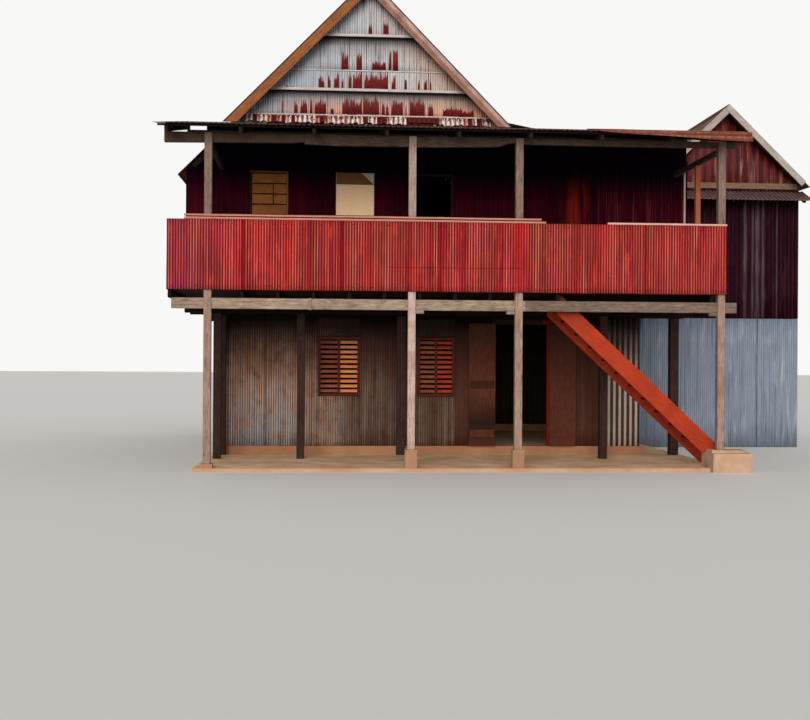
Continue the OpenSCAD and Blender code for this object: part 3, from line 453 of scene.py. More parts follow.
def column_group():
    """A chance value, the same all the way up each column of a sheet."""
    build, given, result = new_group("columns", {"Width": FINE_WAVE, "Seed": 0.0}, ["Chance"])
    column = build.math("FLOOR", build.math("DIVIDE", build.value("side"), given["Width"]))
    build.set(result["Chance"], build.chance(build.math("ADD", column, given["Seed"])))
    return build.tree


def wave_group():
    """Masks of a sheet's crests and of its valleys, the narrower the higher the power."""
    build, given, result = new_group("waves", {"Power": 2.0}, ["Crest", "Valley"])
    crest = build.value("crest")
    build.set(result["Crest"], build.math("POWER", crest, given["Power"]))
    build.set(result["Valley"], build.math("POWER", build.math("SUBTRACT", 1.0, crest), given["Power"]))
    return build.tree


def front_group():
    """One on faces that look to the front."""
    build, _, result = new_group("front", {}, ["Mask"])
    normal = build.add("ShaderNodeNewGeometry").outputs["Normal"]
    facing = build.add("ShaderNodeSeparateXYZ", {0: normal}).outputs["Y"]
    build.set(result["Mask"], build.ramp(facing, -0.6, -0.2, 1.0, 0.0))
    return build.tree


def verge_group():
    """How far a point of the gable lies under the right slope of the roof, and under the nearer slope."""
    build, _, result = new_group("verge", {}, ["Right", "Nearer"])
    pitch = math.radians(MAIN_PITCH)
    place = build.place()
    drop = build.times(build.math("SUBTRACT", RIDGE_Z, place["Z"]), math.cos(pitch))
    aside = build.math("SUBTRACT", place["X"], RIDGE_X)
    for name, run in (("Right", aside), ("Nearer", build.math("ABSOLUTE", aside))):
        build.set(result[name], build.math("SUBTRACT", drop, build.times(run, math.sin(pitch))))
    return build.tree


def grain_group():
    """Long fibres and open cracks of old wood, along the timber that holds the point."""
    inputs = {"Fibre": 0.006, "Crack": 0.5, "Seed": 0.0}
    build, given, result = new_group("grain", inputs, ["Fibres", "Cracks", "Height"])
    along, across, tall = map(build.value, ("along", "across", "tall"))
    stretched = build.join(build.times(along, 0.035), across, tall)
    moved = build.vector("ADD", build.vector("DIVIDE", stretched, given["Fibre"]), given["Seed"])
    fibres = build.cloud(moved, 4.0, 0.6)
    splits = build.cloud(build.vector("MULTIPLY", moved, (0.28, 0.28, 0.28)), 2.0, distortion=0.4)
    cracks = build.times(build.ramp(build.distance(splits, 0.5), 0.0, 0.018, 1.0, 0.0), given["Crack"])
    build.set(result["Fibres"], fibres)
    build.set(result["Cracks"], cracks)
    build.set(result["Height"], build.math("SUBTRACT", fibres, build.times(cracks, 2.0)))
    return build.tree


def rust_group():
    """Rust in runs, more of it near the sheet's foot."""
    build, given, result = new_group("rust", {"Share": 0.3, "Seed": 0.0}, ["Mask"])
    spread = build.math("ADD", build.ramp(build.value("foot"), 0.0, 0.25, 0.6, 0.0), given["Share"])
    runs = build.group(STREAKS, width=0.05, length=0.3, low=0.5, high=0.62, seed=given["Seed"])["Mask"]
    build.set(result["Mask"], build.math("MINIMUM", build.times(runs, spread), 1.0))
    return build.tree


def plank_group():
    """Dark joints between boards of one width laid side by side, and a chance value for each board."""
    build, given, result = new_group("planks", {"Width": 0.15, "Gap": 0.006}, ["Joint", "Chance"])
    board = build.math("DIVIDE", build.value("across"), given["Width"])
    edge = build.distance(build.math("FRACT", board), 0.5)
    start = build.math("SUBTRACT", 0.5, build.math("DIVIDE", given["Gap"], given["Width"]))
    build.set(result["Joint"], build.ramp(edge, start, 0.5))
    build.set(result["Chance"], build.chance(build.math("FLOOR", board)))
    return build.tree


def height_shade_group():
    """How far a point is from a low height, where painted shade starts, to a high one, where it is darkest.
    """
    build, given, result = new_group("height_shade", {"Low": 3.0, "High": 4.0}, ["Mask"])
    build.set(result["Mask"], build.ramp(build.place()["Z"], given["Low"], given["High"]))
    return build.tree


STREAKS = streak_group()
PATCHES = patch_group()
ROW = row_group()
COLUMNS = column_group()
WAVES = wave_group()
FRONT_FACES = front_group()
VERGE = verge_group()
GRAIN = grain_group()
RUST = rust_group()
PLANKS = plank_group()
HEIGHT_SHADE = height_shade_group()


class Finish(Nodes):
    """A material whose colour is laid on coat by coat."""

    def __init__(self, name, tone):
        self.material = bpy.data.materials.new(name)
        self.material.use_nodes = True
        super().__init__(self.material.node_tree)
        self.shader = next(node for node in self.tree.nodes if node.type == "BSDF_PRINCIPLED")
        self.colour = tone

    def coat(self, tone, *shares):
        """Lays a tone over the coats so far, where and as strongly as all the shares say."""
        self.colour = self.mix(self.times(*shares), self.colour, tone)

    def streaks(self, width, length, low, high, seed):
        """Marks that run down, of a width and length in metres."""
        return self.group(STREAKS, width=width, length=length, low=low, high=high, seed=seed)["Mask"]

    def patches(self, size, low, high, seed):
        """Blotches of a size in metres."""
        return self.group(PATCHES, size=size, low=low, high=high, seed=seed)["Mask"]

    def row(self, size, seed, low=0.4, high=0.6):
        """Stretches of a size in metres along a row of sheets."""
        return self.group(ROW, size=size, low=low, high=high, seed=seed)["Mask"]

    def column(self, seed):
        """A chance value for each fine wave."""
        return self.group(COLUMNS, width=FINE_WAVE, seed=seed)["Chance"]

    def crests(self, power):
        """Mask of the waves' crests."""
        return self.group(WAVES, power=power)["Crest"]

    def valleys(self, power):
        """Mask of the valleys between the waves."""
        return self.group(WAVES, power=power)["Valley"]

    def height_shade(self, low, high):
        """Mask of painted shade, none at the low height and darkest from the high one up."""
        return self.group(HEIGHT_SHADE, low=low, high=high)["Mask"]

    def finish(self, rough, height, bump=0.5, distance=0.002, shine=0.12):
        """Joins colour, roughness and relief to the shader, and gives the material."""
        relief = self.add("ShaderNodeBump", {"Height": height, "Strength": bump, "Distance": distance})
        inputs = {"Base Color": self.colour, "Roughness": rough, "Specular IOR Level": shine,
                  "Normal": relief.outputs["Normal"]}
        for key, value in inputs.items():
            self.set(self.shader.inputs[key], value)
        return self.material

    def finish_paint(self, rough, seed, bump=0.15, shine=0.12):
        """Finishes with the fine relief of old paint."""
        return self.finish(rough, self.patches(0.02, 0.3, 0.7, seed), bump, 0.001, shine)


# Paint on sheet


def skirt_paint(name):
    """Faded red paint: every sheet and every wave has faded in its own way, with painted shade in the
    valleys.
    """
    paint = Finish(name, (122, 8, 20))
    side, foot = map(paint.value, ("side", "foot"))
    paint.coat((168, 18, 22), paint.row(0.2, 3.0, 0.42, 0.58))
    paint.coat((116, 34, 28), paint.row(0.42, 9.0, 0.45, 0.56), 0.85)
    paint.coat((158, 18, 50), paint.row(0.5, 14.0, 0.53, 0.6), 0.7)
    paint.coat((110, 24, 72), paint.ramp(side, -4.1, -3.4, 0.8, 0.0), paint.patches(0.3, 0.34, 0.56, 3.0))
    paint.coat((160, 16, 26), paint.ramp(side, 2.7, 3.1), paint.patches(0.25, 0.4, 0.6, 4.0))
    paint.coat((108, 30, 26), paint.ramp(side, 0.8, 2.2, 0.0, 0.35))
    paint.coat((104, 20, 34), paint.patches(0.3, 0.5, 0.64, 7.0), 0.6)
    paint.coat((206, 60, 34), paint.streaks(0.07, 0.4, 0.58, 0.7, 15.0), 0.6)
    single, other = paint.column(0.0), paint.column(50.0)
    cluster = paint.times(paint.row(0.12, 21.0, 0.36, 0.6), paint.streaks(0.05, 1.2, 0.3, 0.55, 17.0))
    pale = paint.mix(paint.ramp(other, 0.6, 0.8), (232, 118, 108), (216, 150, 116))
    paint.coat(pale, paint.crests(2.5), paint.ramp(single, 0.0, 0.9, 0.35, 1.0),
               paint.ramp(cluster, 0.0, 1.0, 0.25, 1.0))
    # Painted shade in the valleys of the waves
    paint.coat((84, 8, 20), paint.valleys(2.0), paint.ramp(other, 0.0, 1.0, 0.45, 0.95))
    paint.coat((84, 12, 22), paint.ramp(paint.distance(foot, SKIRT_SEAM_RISE), 0.003, 0.007, 0.75, 0.0),
               paint.ramp(paint.distance(side, SKIRT_SEAM_X), 0.9, 1.0, 1.0, 0.0))
    paint.coat((116, 4, 16), paint.value("line"), 0.9)
    paint.coat((76, 14, 20), paint.patches(0.035, 0.67, 0.71, 31.0), 0.8)
    return paint.finish_paint(0.75, 7.0, shine=0.04)


def painted_sheet(name, seed, rust_share, gloss, wear_and_valley_shade=0.6, shine=0.12, foot_shade=0.0, shaded=0.0, **tones):
    """Painted corrugated sheet: two tones, dark and pale runs, worn crests, painted shade in the valleys, and
    rust.

    The line value shows in the tone called mark, or else dark. Wear and valley shade is how strongly the
    crests wear pale and painted shade darkens the valleys. Foot shade is how far up from the foot painted
    shade blackens the sheet; shaded is how dark painted shade makes the faces that look to the front.
    """
    paint = Finish(name, tones["base"])
    paint.coat(tones["second"], paint.ramp(paint.value("tone"), 0.2, 0.8))
    paint.coat(tones["dull"], paint.patches(0.45, 0.42, 0.66, seed))
    paint.coat(tones["dark"], paint.streaks(0.03, 1.6, 0.52, 0.66, seed + 3))
    paint.coat(tones["bright"], paint.streaks(0.09, 0.9, 0.56, 0.72, seed + 9))
    paint.coat(tones["worn"], paint.crests(3.0), paint.streaks(0.045, 0.7, 0.35, 0.62, seed + 17), wear_and_valley_shade)
    # Painted shade in the valleys, as strong as the wear
    paint.coat(tones["dark"], paint.valleys(2.0), wear_and_valley_shade)
    paint.coat(tones["rust"], paint.group(RUST, share=rust_share, seed=seed + 31)["Mask"])
    shade = rgb(tones["dark"], 0.25)
    broken = paint.streaks(0.04, 0.5, 0.4, 0.6, seed + 11)
    paint.coat(tones.get("mark", shade), paint.value("line"), paint.ramp(broken, 0.0, 1.0, 0.35, 0.9))
    if foot_shade:
        # Painted shade along the foot of each sheet
        paint.coat(shade, paint.ramp(paint.value("foot"), 0.0, foot_shade, 0.9, 0.0))
    if shaded:
        # Painted shade on faces that look to the front
        paint.coat(shade, paint.group(FRONT_FACES)["Mask"], shaded)
    rough = paint.ramp(paint.patches(0.08, 0.3, 0.7, seed + 5), 0.0, 1.0, gloss - 0.1, gloss + 0.2)
    return paint.finish_paint(rough, seed + 7, shine=shine)


def upper_wall(name):
    """Maroon sheet behind the veranda: near black under the roof by painted shade, a warm stain and pale runs
    at the right.
    """
    paint = Finish(name, (44, 0, 14))
    place = paint.place()
    paint.coat((66, 2, 18), paint.row(0.4, 4.0))
    # Painted shade in the valleys of the waves
    paint.coat((20, 0, 10), paint.valleys(1.0), 0.6)
    paint.coat((104, 40, 50), paint.streaks(0.03, 1.4, 0.5, 0.62, 3.0),
               paint.ramp(place["X"], 2.2, 2.5, 0.1, 0.65))
    paint.coat((120, 30, 18), paint.ramp(paint.distance(place["X"], STAIN_X), 0.1, 0.22, 0.9, 0.0),
               paint.streaks(0.06, 0.9, 0.38, 0.6, 5.0))
    # Painted shade under the veranda roof: near black toward the top
    paint.coat((5, 0, 14), paint.height_shade(4.1, 4.55), 0.93)
    return paint.finish_paint(0.75, 9.0, shine=0.03)


def ground_sheet(name, lit_stripes=False):
    """Bare weathered sheet under the floor: grey low down, browner toward the top, and darker toward the top
    by painted shade under the floor.

    Lit stripes gives the broad pale and dark waves of the sheets beside the zinc wall: painted light on their
    crests and painted shade in their valleys.
    """
    paint = Finish(name, (164, 146, 132))
    crest, side, tone = map(paint.value, ("crest", "side", "tone"))
    height = paint.place()["Z"]
    paint.coat((154, 110, 82), paint.row(0.4, 2.0))
    paint.coat((118, 64, 42), paint.ramp(tone, 0.4, 0.6))
    paint.coat((122, 128, 140), paint.ramp(height, 0.4, 1.5, 0.85, 0.0),
               paint.ramp(side, -2.7, -1.9, 1.0, 0.15))
    paint.coat((78, 52, 42), paint.patches(0.16, 0.5, 0.64, 12.0), 0.6)
    paint.coat((150, 86, 54), paint.patches(0.22, 0.54, 0.66, 22.0), 0.65)
    paint.coat((56, 24, 15), paint.ramp(side, -2.1, -1.6, 0.0, 0.7))
    open_part = paint.times(paint.ramp(tone, 0.4, 0.6, 1.0, 0.2), paint.ramp(side, -2.1, -1.7, 1.0, 0.7))
    if lit_stripes:
        # Painted light on the crests and painted shade in the valleys, as a light from the side gives them
        pale, dark = (206, 196, 188), paint.ramp(crest, 0.5, 0.2)
        paint.coat(pale, paint.ramp(crest, 0.5, 0.75), open_part, 0.85)
    else:
        # Painted shade in the valleys of the waves
        pale, dark = (208, 186, 164), paint.times(paint.valleys(1.6), 0.8)
        paint.coat(pale, crest, paint.ramp(paint.column(5.0), 0.0, 1.0, 0.1, 1.0),
                   paint.streaks(0.03, 0.8, 0.36, 0.6, 28.0), open_part, 0.85)
    paint.coat((40, 24, 19), dark, open_part)
    paint.coat((40, 28, 24), paint.value("line"), 0.6)
    if not lit_stripes:
        paint.coat((44, 16, 9), paint.ramp(side, -2.1, -1.6, 0.0, 0.5))
    paint.coat((96, 34, 18), paint.ramp(height, 0.9, 1.7), paint.patches(0.5, 0.4, 0.6, 6.0), 0.5)
    # Painted shade under the floor: darker toward the top
    paint.coat((20, 10, 9), paint.height_shade(1.15, 2.1), 0.93)
    return paint.finish_paint(0.7, 9.0)


def peeling_gable(name):
    """Pale paint over dark red metal, peeled from the foot of each course as high as the line value says,
    with painted shadow under each lip and painted shade in the valleys.
    """
    paint = Finish(name, (172, 184, 198))
    foot, side, peeled = map(paint.value, ("foot", "side", "line"))
    height = paint.place()["Z"]
    verge = paint.group(VERGE)["Right"]
    paint.coat((206, 206, 206), paint.ramp(side, -2.4, -0.7))
    paint.coat((222, 178, 148), paint.ramp(side, -0.9, 0.4), 0.6)
    paint.coat((186, 120, 72), paint.ramp(verge, 0.03, 0.4, 0.75, 0.0),
               paint.ramp(height, 6.4, 6.9, 1.0, 0.3))
    paint.coat((226, 158, 128), paint.ramp(foot, 0.05, 0.36, 0.9, 0.0),
               paint.ramp(height, LOW_LIP, LOW_LIP + 0.03, 1.0, 0.0), paint.ramp(side, -2.9, -2.2, 0.1, 1.0))
    paint.coat((150, 142, 144), paint.patches(0.4, 0.4, 0.7, 1.0), 0.4)
    # Painted shade in the valleys of the waves
    paint.coat((96, 84, 88), paint.valleys(2.0), paint.ramp(paint.column(3.0), 0.0, 1.0, 0.4, 0.95))
    paint.coat((62, 40, 44), paint.streaks(0.016, 1.0, 0.58, 0.63, 4.0), 0.85)
    ragged = paint.cloud(paint.join(paint.times(side, 90.0), paint.times(foot, 3.0)), 2.0)
    uneven = paint.times(peeled, paint.ramp(ragged, 0.3, 0.7, 0.6, 1.15))
    rust = paint.mix(paint.patches(0.1, 0.35, 0.65, 6.0), (78, 11, 15), (108, 27, 24))
    rust = paint.mix(paint.times(paint.ramp(foot, 0.1, 0.32), 0.5), rust, (146, 62, 46))
    paint.coat(rust, paint.ramp(paint.math("SUBTRACT", uneven, foot), -0.004, 0.012),
               paint.ramp(peeled, 0.0, 0.02))
    # Painted shadow under each lip: a dark band and a softer grey one below it
    for lip, reach in PAINTED_LIP_SHADOWS:
        below = paint.math("LESS_THAN", height, lip)
        paint.coat((24, 17, 24), paint.ramp(height, lip - reach, lip - 0.03, 0.0, 0.95), below)
        paint.coat((76, 66, 70), paint.ramp(height, lip - reach * 2.2, lip - reach * 0.6, 0.0, 0.4), below)
    return paint.finish_paint(0.7, 9.0)


def flashing_paint(name):
    """Scalloped strip at the foot of the gable: each wave pale, pink or rusted by its own tone, with painted
    shade in the valleys.
    """
    paint = Finish(name, (236, 214, 206))
    tone, foot = map(paint.value, ("tone", "foot"))
    paint.coat((212, 150, 134), paint.ramp(tone, 0.35, 0.45))
    paint.coat((92, 22, 24), paint.ramp(tone, 0.65, 0.75))
    paint.coat((110, 30, 30), paint.streaks(0.03, 0.12, 0.48, 0.56, 3.0), paint.ramp(foot, 0.02, 0.09))
    # Painted shade in the valleys of the waves
    paint.coat((46, 14, 18), paint.valleys(1.5), 0.9)
    return paint.finish_paint(0.7, 2.0, bump=0.2)


# Wood and concrete

# Black of cracks and joints, and of the painted shade that darkens wood with height
CRACK_AND_SHADE_BLACK = (22, 14, 10)


def aged_wood(name, seed, crack, pale, dark, rough=0.8, stain=None, boards=0.0, height_shade=None, paint_and_shade_beyond=None):
    """Bare or stained timber: fibres, cracks, pale and dark stretches.

    Boards gives the width of boards laid side by side. Height shade gives the heights between which painted
    shade darkens the wood, and how dark. Beyond gives a place along X, the tone past it and how strong that
    is: painted shade on the beam, red paint on the jamb.
    """
    wood = Finish(name, dark)
    grain = wood.group(GRAIN, fibre=0.005, crack=crack, seed=seed)
    wood.coat(pale, wood.ramp(grain["Fibres"], 0.32, 0.68))
    wood.coat(stain or dark, wood.patches(0.22, 0.42, 0.68, seed + 2), 0.55)
    wood.coat(dark, wood.ramp(wood.value("tone"), 0.0, 1.0, 0.0, 0.25))
    wood.coat(CRACK_AND_SHADE_BLACK, grain["Cracks"], 0.85)
    if boards:
        planks = wood.group(PLANKS, width=boards)
        wood.coat(CRACK_AND_SHADE_BLACK, planks["Joint"], 0.95)
        wood.coat(dark, planks["Chance"], 0.5)
    # A tone past a place along X: painted shade on the beam, red paint on the jamb
    if paint_and_shade_beyond:
        place, tone, strength = paint_and_shade_beyond
        wood.coat(tone, wood.ramp(wood.place()["X"], place, place + 0.02, 0.0, strength))
    # Painted shade: the wood darkens between two heights
    if height_shade:
        low, high, strength = height_shade
        wood.coat(CRACK_AND_SHADE_BLACK, wood.height_shade(low, high), strength)
    return wood.finish(rough, grain["Height"])


def verge_paint(name):
    """Bargeboard: a dark outer line, a faded face and a browner lower half; the left one golden brown."""
    wood = Finish(name, (146, 112, 104))
    depth = wood.group(VERGE)["Nearer"]
    grain = wood.group(GRAIN, fibre=0.006, crack=0.5, seed=17.0)
    fibres = wood.ramp(grain["Fibres"], 0.32, 0.68)
    wood.coat((204, 172, 164), fibres)
    wood.coat(wood.mix(fibres, (110, 76, 66), (166, 124, 110)), wood.ramp(depth, 0.06, 0.085))
    left = wood.ramp(wood.place()["X"], RIDGE_X - 0.04, RIDGE_X + 0.06, 1.0, 0.0)
    wood.coat(wood.mix(fibres, (108, 62, 34), (164, 104, 60)), left)
    wood.coat((104, 66, 54), wood.patches(0.2, 0.45, 0.66, 4.0), 0.5)
    wood.coat((40, 28, 26), wood.ramp(depth, 0.008, 0.016, 0.9, 0.0))
    return wood.finish(0.8, grain["Height"])


def cast_concrete(name, pale, dark, dust):
    """Rough concrete in three tones, browner and darker by painted shade where it looks to the front, short
    of the stair.
    """
    stone = Finish(name, pale)
    small = stone.patches(0.02, 0.35, 0.7, 8.0)
    stone.coat(dark, stone.patches(0.5, 0.4, 0.65, 2.0))
    stone.coat(dark, small, 0.35)
    stone.coat(dust, stone.patches(0.9, 0.45, 0.6, 5.0), 0.6)
    # Painted shade on faces that look to the front
    stone.coat((150, 104, 74), stone.group(FRONT_FACES)["Mask"],
               stone.ramp(stone.place()["X"], 3.45, 3.5, 1.0, 0.0), 0.6)
    return stone.finish(0.9, small)


# Every finish of the house

SKIRT_RED = skirt_paint("skirt_red")
UPPER_WALL = upper_wall("upper_wall")
MAROON = painted_sheet(
    "wall_maroon", seed=21.0, rust_share=0.15, gloss=0.5, base=(46, 8, 18), second=(58, 10, 20),
    dull=(36, 8, 18), dark=(18, 3, 10), bright=(82, 16, 22), worn=(88, 26, 34), rust=(96, 30, 20))
WING_MAROON = painted_sheet(
    "wing_maroon", seed=24.0, rust_share=0.1, gloss=0.6, shine=0.04, base=(33, 5, 16), second=(42, 8, 20),
    dull=(25, 4, 15), dark=(14, 0, 9), bright=(58, 24, 37), worn=(66, 25, 33), rust=(60, 16, 20),
    mark=(84, 68, 78))
BARE_SHEET = painted_sheet(
    "bare_sheet", seed=41.0, rust_share=0.3, gloss=0.7, shine=0.05, shaded=0.85, base=(122, 100, 84),
    second=(136, 110, 90), dull=(104, 86, 74), dark=(70, 50, 40), bright=(146, 122, 102),
    worn=(166, 144, 124), rust=(96, 54, 34))
ZINC = painted_sheet(
    "wing_zinc", seed=61.0, rust_share=0.08, gloss=0.45, wear_and_valley_shade=0.35, shine=0.3, base=(110, 122, 142),
    second=(122, 134, 152), dull=(108, 120, 136), dark=(84, 94, 110), bright=(150, 160, 172),
    worn=(170, 180, 190), rust=(112, 92, 80))
ROOF_SHEET = painted_sheet(
    "roof_sheet", seed=81.0, rust_share=0.6, gloss=0.6, foot_shade=0.06, base=(96, 62, 54), second=(120, 84, 72),
    dull=(84, 52, 48), dark=(54, 30, 28), bright=(136, 92, 74), worn=(150, 116, 98), rust=(112, 52, 34))
VERANDA_SHEET = painted_sheet(
    "veranda_sheet", seed=91.0, rust_share=0.5, gloss=0.7, shine=0.06, foot_shade=0.06, base=(58, 42, 40),
    second=(72, 54, 50), dull=(48, 34, 34), dark=(32, 22, 22), bright=(92, 66, 56), worn=(98, 78, 70),
    rust=(84, 42, 30))
RUSTY_SHEET = painted_sheet(
    "rusty_sheet", seed=101.0, rust_share=0.7, gloss=0.6, base=(128, 72, 58), second=(140, 84, 66),
    dull=(106, 56, 46), dark=(72, 34, 30), bright=(160, 110, 84), worn=(178, 134, 106), rust=(120, 52, 34))
MAUVE_SHEET = painted_sheet(
    "mauve_sheet", seed=121.0, rust_share=0.3, gloss=0.6, base=(84, 66, 70), second=(98, 77, 76),
    dull=(70, 53, 58), dark=(42, 28, 34), bright=(112, 92, 88), worn=(130, 110, 106), rust=(104, 60, 48))
GABLE_BOARDS = painted_sheet(
    "wing_gable_red", seed=141.0, rust_share=0.15, gloss=0.5, base=(92, 26, 26), second=(108, 34, 30),
    dull=(70, 20, 24), dark=(36, 8, 14), bright=(168, 120, 110), worn=(120, 60, 54), rust=(70, 26, 28))
GROUND_WALL = ground_sheet("ground_wall")
LIT_STRIPE_WALL = ground_sheet("lit_stripe_wall", lit_stripes=True)
GABLE_PAINT = peeling_gable("gable_paint")
FLASHING = flashing_paint("gable_flashing_paint")

# The posts darken from 3.2 m to 3.6 m up: painted shade above the skirt, under the eave
POST_WOOD = aged_wood("post_wood", 1.0, 0.8, (190, 164, 150), (116, 90, 78), stain=(124, 88, 70),
                      height_shade=(3.2, 3.6, 0.36))
BRIGHT_POST = aged_wood("bright_post", 2.0, 0.8, (226, 204, 194), (160, 132, 122), stain=(140, 104, 92),
                        height_shade=(3.2, 3.6, 0.3))
# Past X 0.8 the beam is darker: painted shade
BEAM_WOOD = aged_wood("beam_wood", 5.0, 0.9, (206, 184, 164), (112, 90, 78), stain=(96, 76, 66),
                      paint_and_shade_beyond=(0.8, (60, 44, 42), 0.5))
PLATE_WOOD = aged_wood("plate_wood", 7.0, 0.7, (104, 84, 74), (46, 34, 28))
RAIL_PINK = aged_wood("rail_pink", 9.0, 0.2, (222, 186, 172), (184, 142, 130), stain=(198, 150, 136))
RAIL_ORANGE = aged_wood("rail_orange", 11.0, 0.2, (200, 140, 124), (166, 104, 92), stain=(184, 122, 106))
DARK_WOOD = aged_wood("dark_wood", 13.0, 0.6, (52, 34, 27), (24, 15, 12))
# Joists and floor beams made near black: painted shade under the floor and skirt
SHADED_JOIST_WOOD = aged_wood("shaded_joist_wood", 14.0, 0.5, (30, 12, 11), (14, 6, 6))
INNER_WOOD = aged_wood("inner_wood", 15.0, 0.6, (74, 50, 44), (34, 22, 21))
FLOOR_WOOD = aged_wood("floor_wood", 16.0, 0.5, (46, 28, 22), (22, 13, 10), boards=0.16)
BARGE_WOOD = verge_paint("barge_wood")
WING_BEAM = aged_wood("wing_beam", 18.0, 0.5, (150, 120, 98), (96, 74, 60))
SLIM_WOOD = aged_wood("slim_wood", 19.0, 0.5, (204, 122, 84), (140, 72, 46))
WING_RAKE = aged_wood("wing_rake", 20.0, 0.5, (196, 188, 182), (136, 124, 116))
GOLDEN_WOOD = aged_wood("golden_wood", 21.0, 0.3, (176, 112, 60), (112, 62, 30))
BEIGE_WOOD = aged_wood("beige_wood", 25.0, 0.05, (255, 226, 188), (240, 196, 154))
UMBER_WOOD = aged_wood("umber_wood", 27.0, 0.3, (150, 98, 60), (104, 64, 38))
# The slats' own orange varnish, brightened as a painted sheen
SLAT_VARNISH_AND_SHEEN = aged_wood("slat_wood", 29.0, 0.3, (255, 180, 116), (206, 116, 66), rough=0.6)
SLAT_DARK = aged_wood("slat_dark", 30.0, 0.3, (186, 112, 82), (114, 54, 38), rough=0.6)
LOUVRE_WOOD = aged_wood("louvre_wood", 31.0, 0.3, (92, 26, 14), (54, 16, 11), rough=0.6)
SLAT_RED = aged_wood("slat_red", 32.0, 0.3, (216, 96, 58), (140, 46, 28), rough=0.6)
# The door leaves darken toward the top: painted shade under the floor
DOOR_WOOD = aged_wood("door_wood", 33.0, 0.4, (112, 60, 42), (62, 30, 22), boards=0.15, height_shade=(1.2, 3.0, 0.9))
JAMB_WOOD = aged_wood("jamb_wood", 35.0, 0.3, (60, 38, 30), (30, 18, 14), paint_and_shade_beyond=(1.5, (116, 28, 18), 0.9))
# The stair darkens toward the top: painted shade under the veranda floor
STAIR_PAINT = aged_wood("stair_paint", 37.0, 0.3, (190, 64, 28), (146, 42, 19), rough=0.55,
                        stain=(128, 40, 24), height_shade=(2.0, 2.7, 0.9))
STAIR_DARK = aged_wood("stair_dark", 41.0, 0.4, (98, 28, 21), (58, 17, 15), rough=0.6, height_shade=(1.9, 2.7, 0.9))
TRIM_WHITE = aged_wood("trim_white", 45.0, 0.3, (222, 212, 208), (176, 162, 156))
GABLE_STRIP = aged_wood("gable_strip", 49.0, 0.2, (220, 214, 214), (170, 156, 154))
CONCRETE = cast_concrete("concrete", (244, 212, 176), (206, 166, 132), (222, 176, 134))
KERB = cast_concrete("kerb_concrete", (178, 134, 106), (136, 98, 77), (160, 110, 82))
PLINTH = cast_concrete("plinth_concrete", (206, 180, 156), (158, 130, 110), (178, 138, 108))
IRON = cast_concrete("old_iron", (84, 60, 50), (46, 34, 30), (104, 58, 38))


# Reading the frame's nodes

EQUAL_CORNERS = 0.00003


def islands(node):
    """Each closed form of a node as (corner points, faces), with equal corners joined."""
    shape = bmesh.new()
    shape.from_mesh(nodes[node].data)
    bmesh.ops.remove_doubles(shape, verts=shape.verts, dist=EQUAL_CORNERS)
    shape.faces.ensure_lookup_table()
    seen, found = set(), []
    for first in shape.faces:
        if first.index in seen:
            continue
        seen.add(first.index)
        heap, faces = [first], []
        while heap:
            face = heap.pop()
            faces.append(face)
            for edge in face.edges:
                for other in edge.link_faces:
                    if other.index not in seen:
                        seen.add(other.index)
                        heap.append(other)
        order = {}
        for face in faces:
            for vert in face.verts:
                order.setdefault(vert.index, (len(order), vert.co.copy()))
        points = [co for _, co in order.values()]
        found.append((points, [[order[v.index][0] for v in f.verts] for f in faces]))
    shape.free()
    return found


def hull_edges(u, v):
    """Lower and upper outline of the points (u, v), each as two lists to interpolate."""
    points = sorted(set(zip(np.round(u, 4), np.round(v, 4))))

    def turn(a, b, c):
        """Above zero where a path through three points turns left."""
        return (b[0] - a[0]) * (c[1] - a[1]) - (b[1] - a[1]) * (c[0] - a[0])

    def chain(sign):
        """The hull's lower side for sign 1, the upper one for -1."""
        line = []
        for point in points:
            while len(line) > 1 and sign * turn(line[-2], line[-1], point) <= 0:
                line.pop()
            line.append(point)
        return [p[0] for p in line], [p[1] for p in line]

    lower, upper = chain(1), chain(-1)
    for end in (0, -1):
        heights = [p[1] for p in points if p[0] == points[end][0]]
        lower[1][end], upper[1][end] = min(heights), max(heights)
    return lower, upper


def facing_of(points, centre, pitch):
    """The way that an upright sheet or a roof slope looks, from where it lies in its node."""
    low, high = extent(points)
    middle = (low + high) / 2
    if pitch or high.x - low.x < high.y - low.y:
        return "left" if middle.x < centre.x else "right"
    return "front" if middle.y < centre.y else "back"


# Thin sheets and worn timbers in place of the frame's

NAIL_RADIUS = 0.007
NAIL_HEIGHT = 0.003
NAIL_INSET = 0.03
SHARP_ANGLE = 0.5


def reclad(node, material, waves, cover, seed, facing=None, pitch=0.0, rows=6, course=9.0, slot=None,
           slip=0.005, start=0.0, laps=None, drop=0.0, nails=(), line=None):
    """Thin separate sheets in place of each sheet of a node, to the same outline.

    Course is about how long a sheet is. Laps gives how far a wall that faces some way runs on at its left and
    right, drop how far its foot hangs down, and nails the heights of its nailed rails.
    """
    work = Work()
    low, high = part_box(node)
    for points, _ in islands(node):
        way = facing or facing_of(points, (low + high) / 2, pitch)
        plane = slope_plane(way, pitch)
        u, v, n = plane.read(points)
        lower, upper = hull_edges(u, v)
        left, right = (laps or {}).get(way, (0.0, 0.0))
        rise = v.max() - v.min()
        count = max(1, round(rise / course))
        for k in range(count):
            v0 = v.min() - drop + rise * k / count
            v1 = v.min() + rise * (k + 1) / count + (COURSE_LAP if k < count - 1 else 0.0)
            sheet_row(work, plane, u.min() - left, u.max() + right,
                      lambda x: max(np.interp(x, *lower) - drop, v0), lambda x: min(np.interp(x, *upper), v1),
                      waves, cover, seed + k, rows, slip, n.min() + (k % 2) * COURSE_LIFT, start, line=line)
        for height in nails:
            nail_row(work, plane, u.min() + NAIL_INSET, u.max() - NAIL_INSET, v.min() + height,
                     n.min() + waves[1] + 0.002, waves[0], seed)
    work.piece(node + "_sheets", material, node, smooth=True, slot=slot)


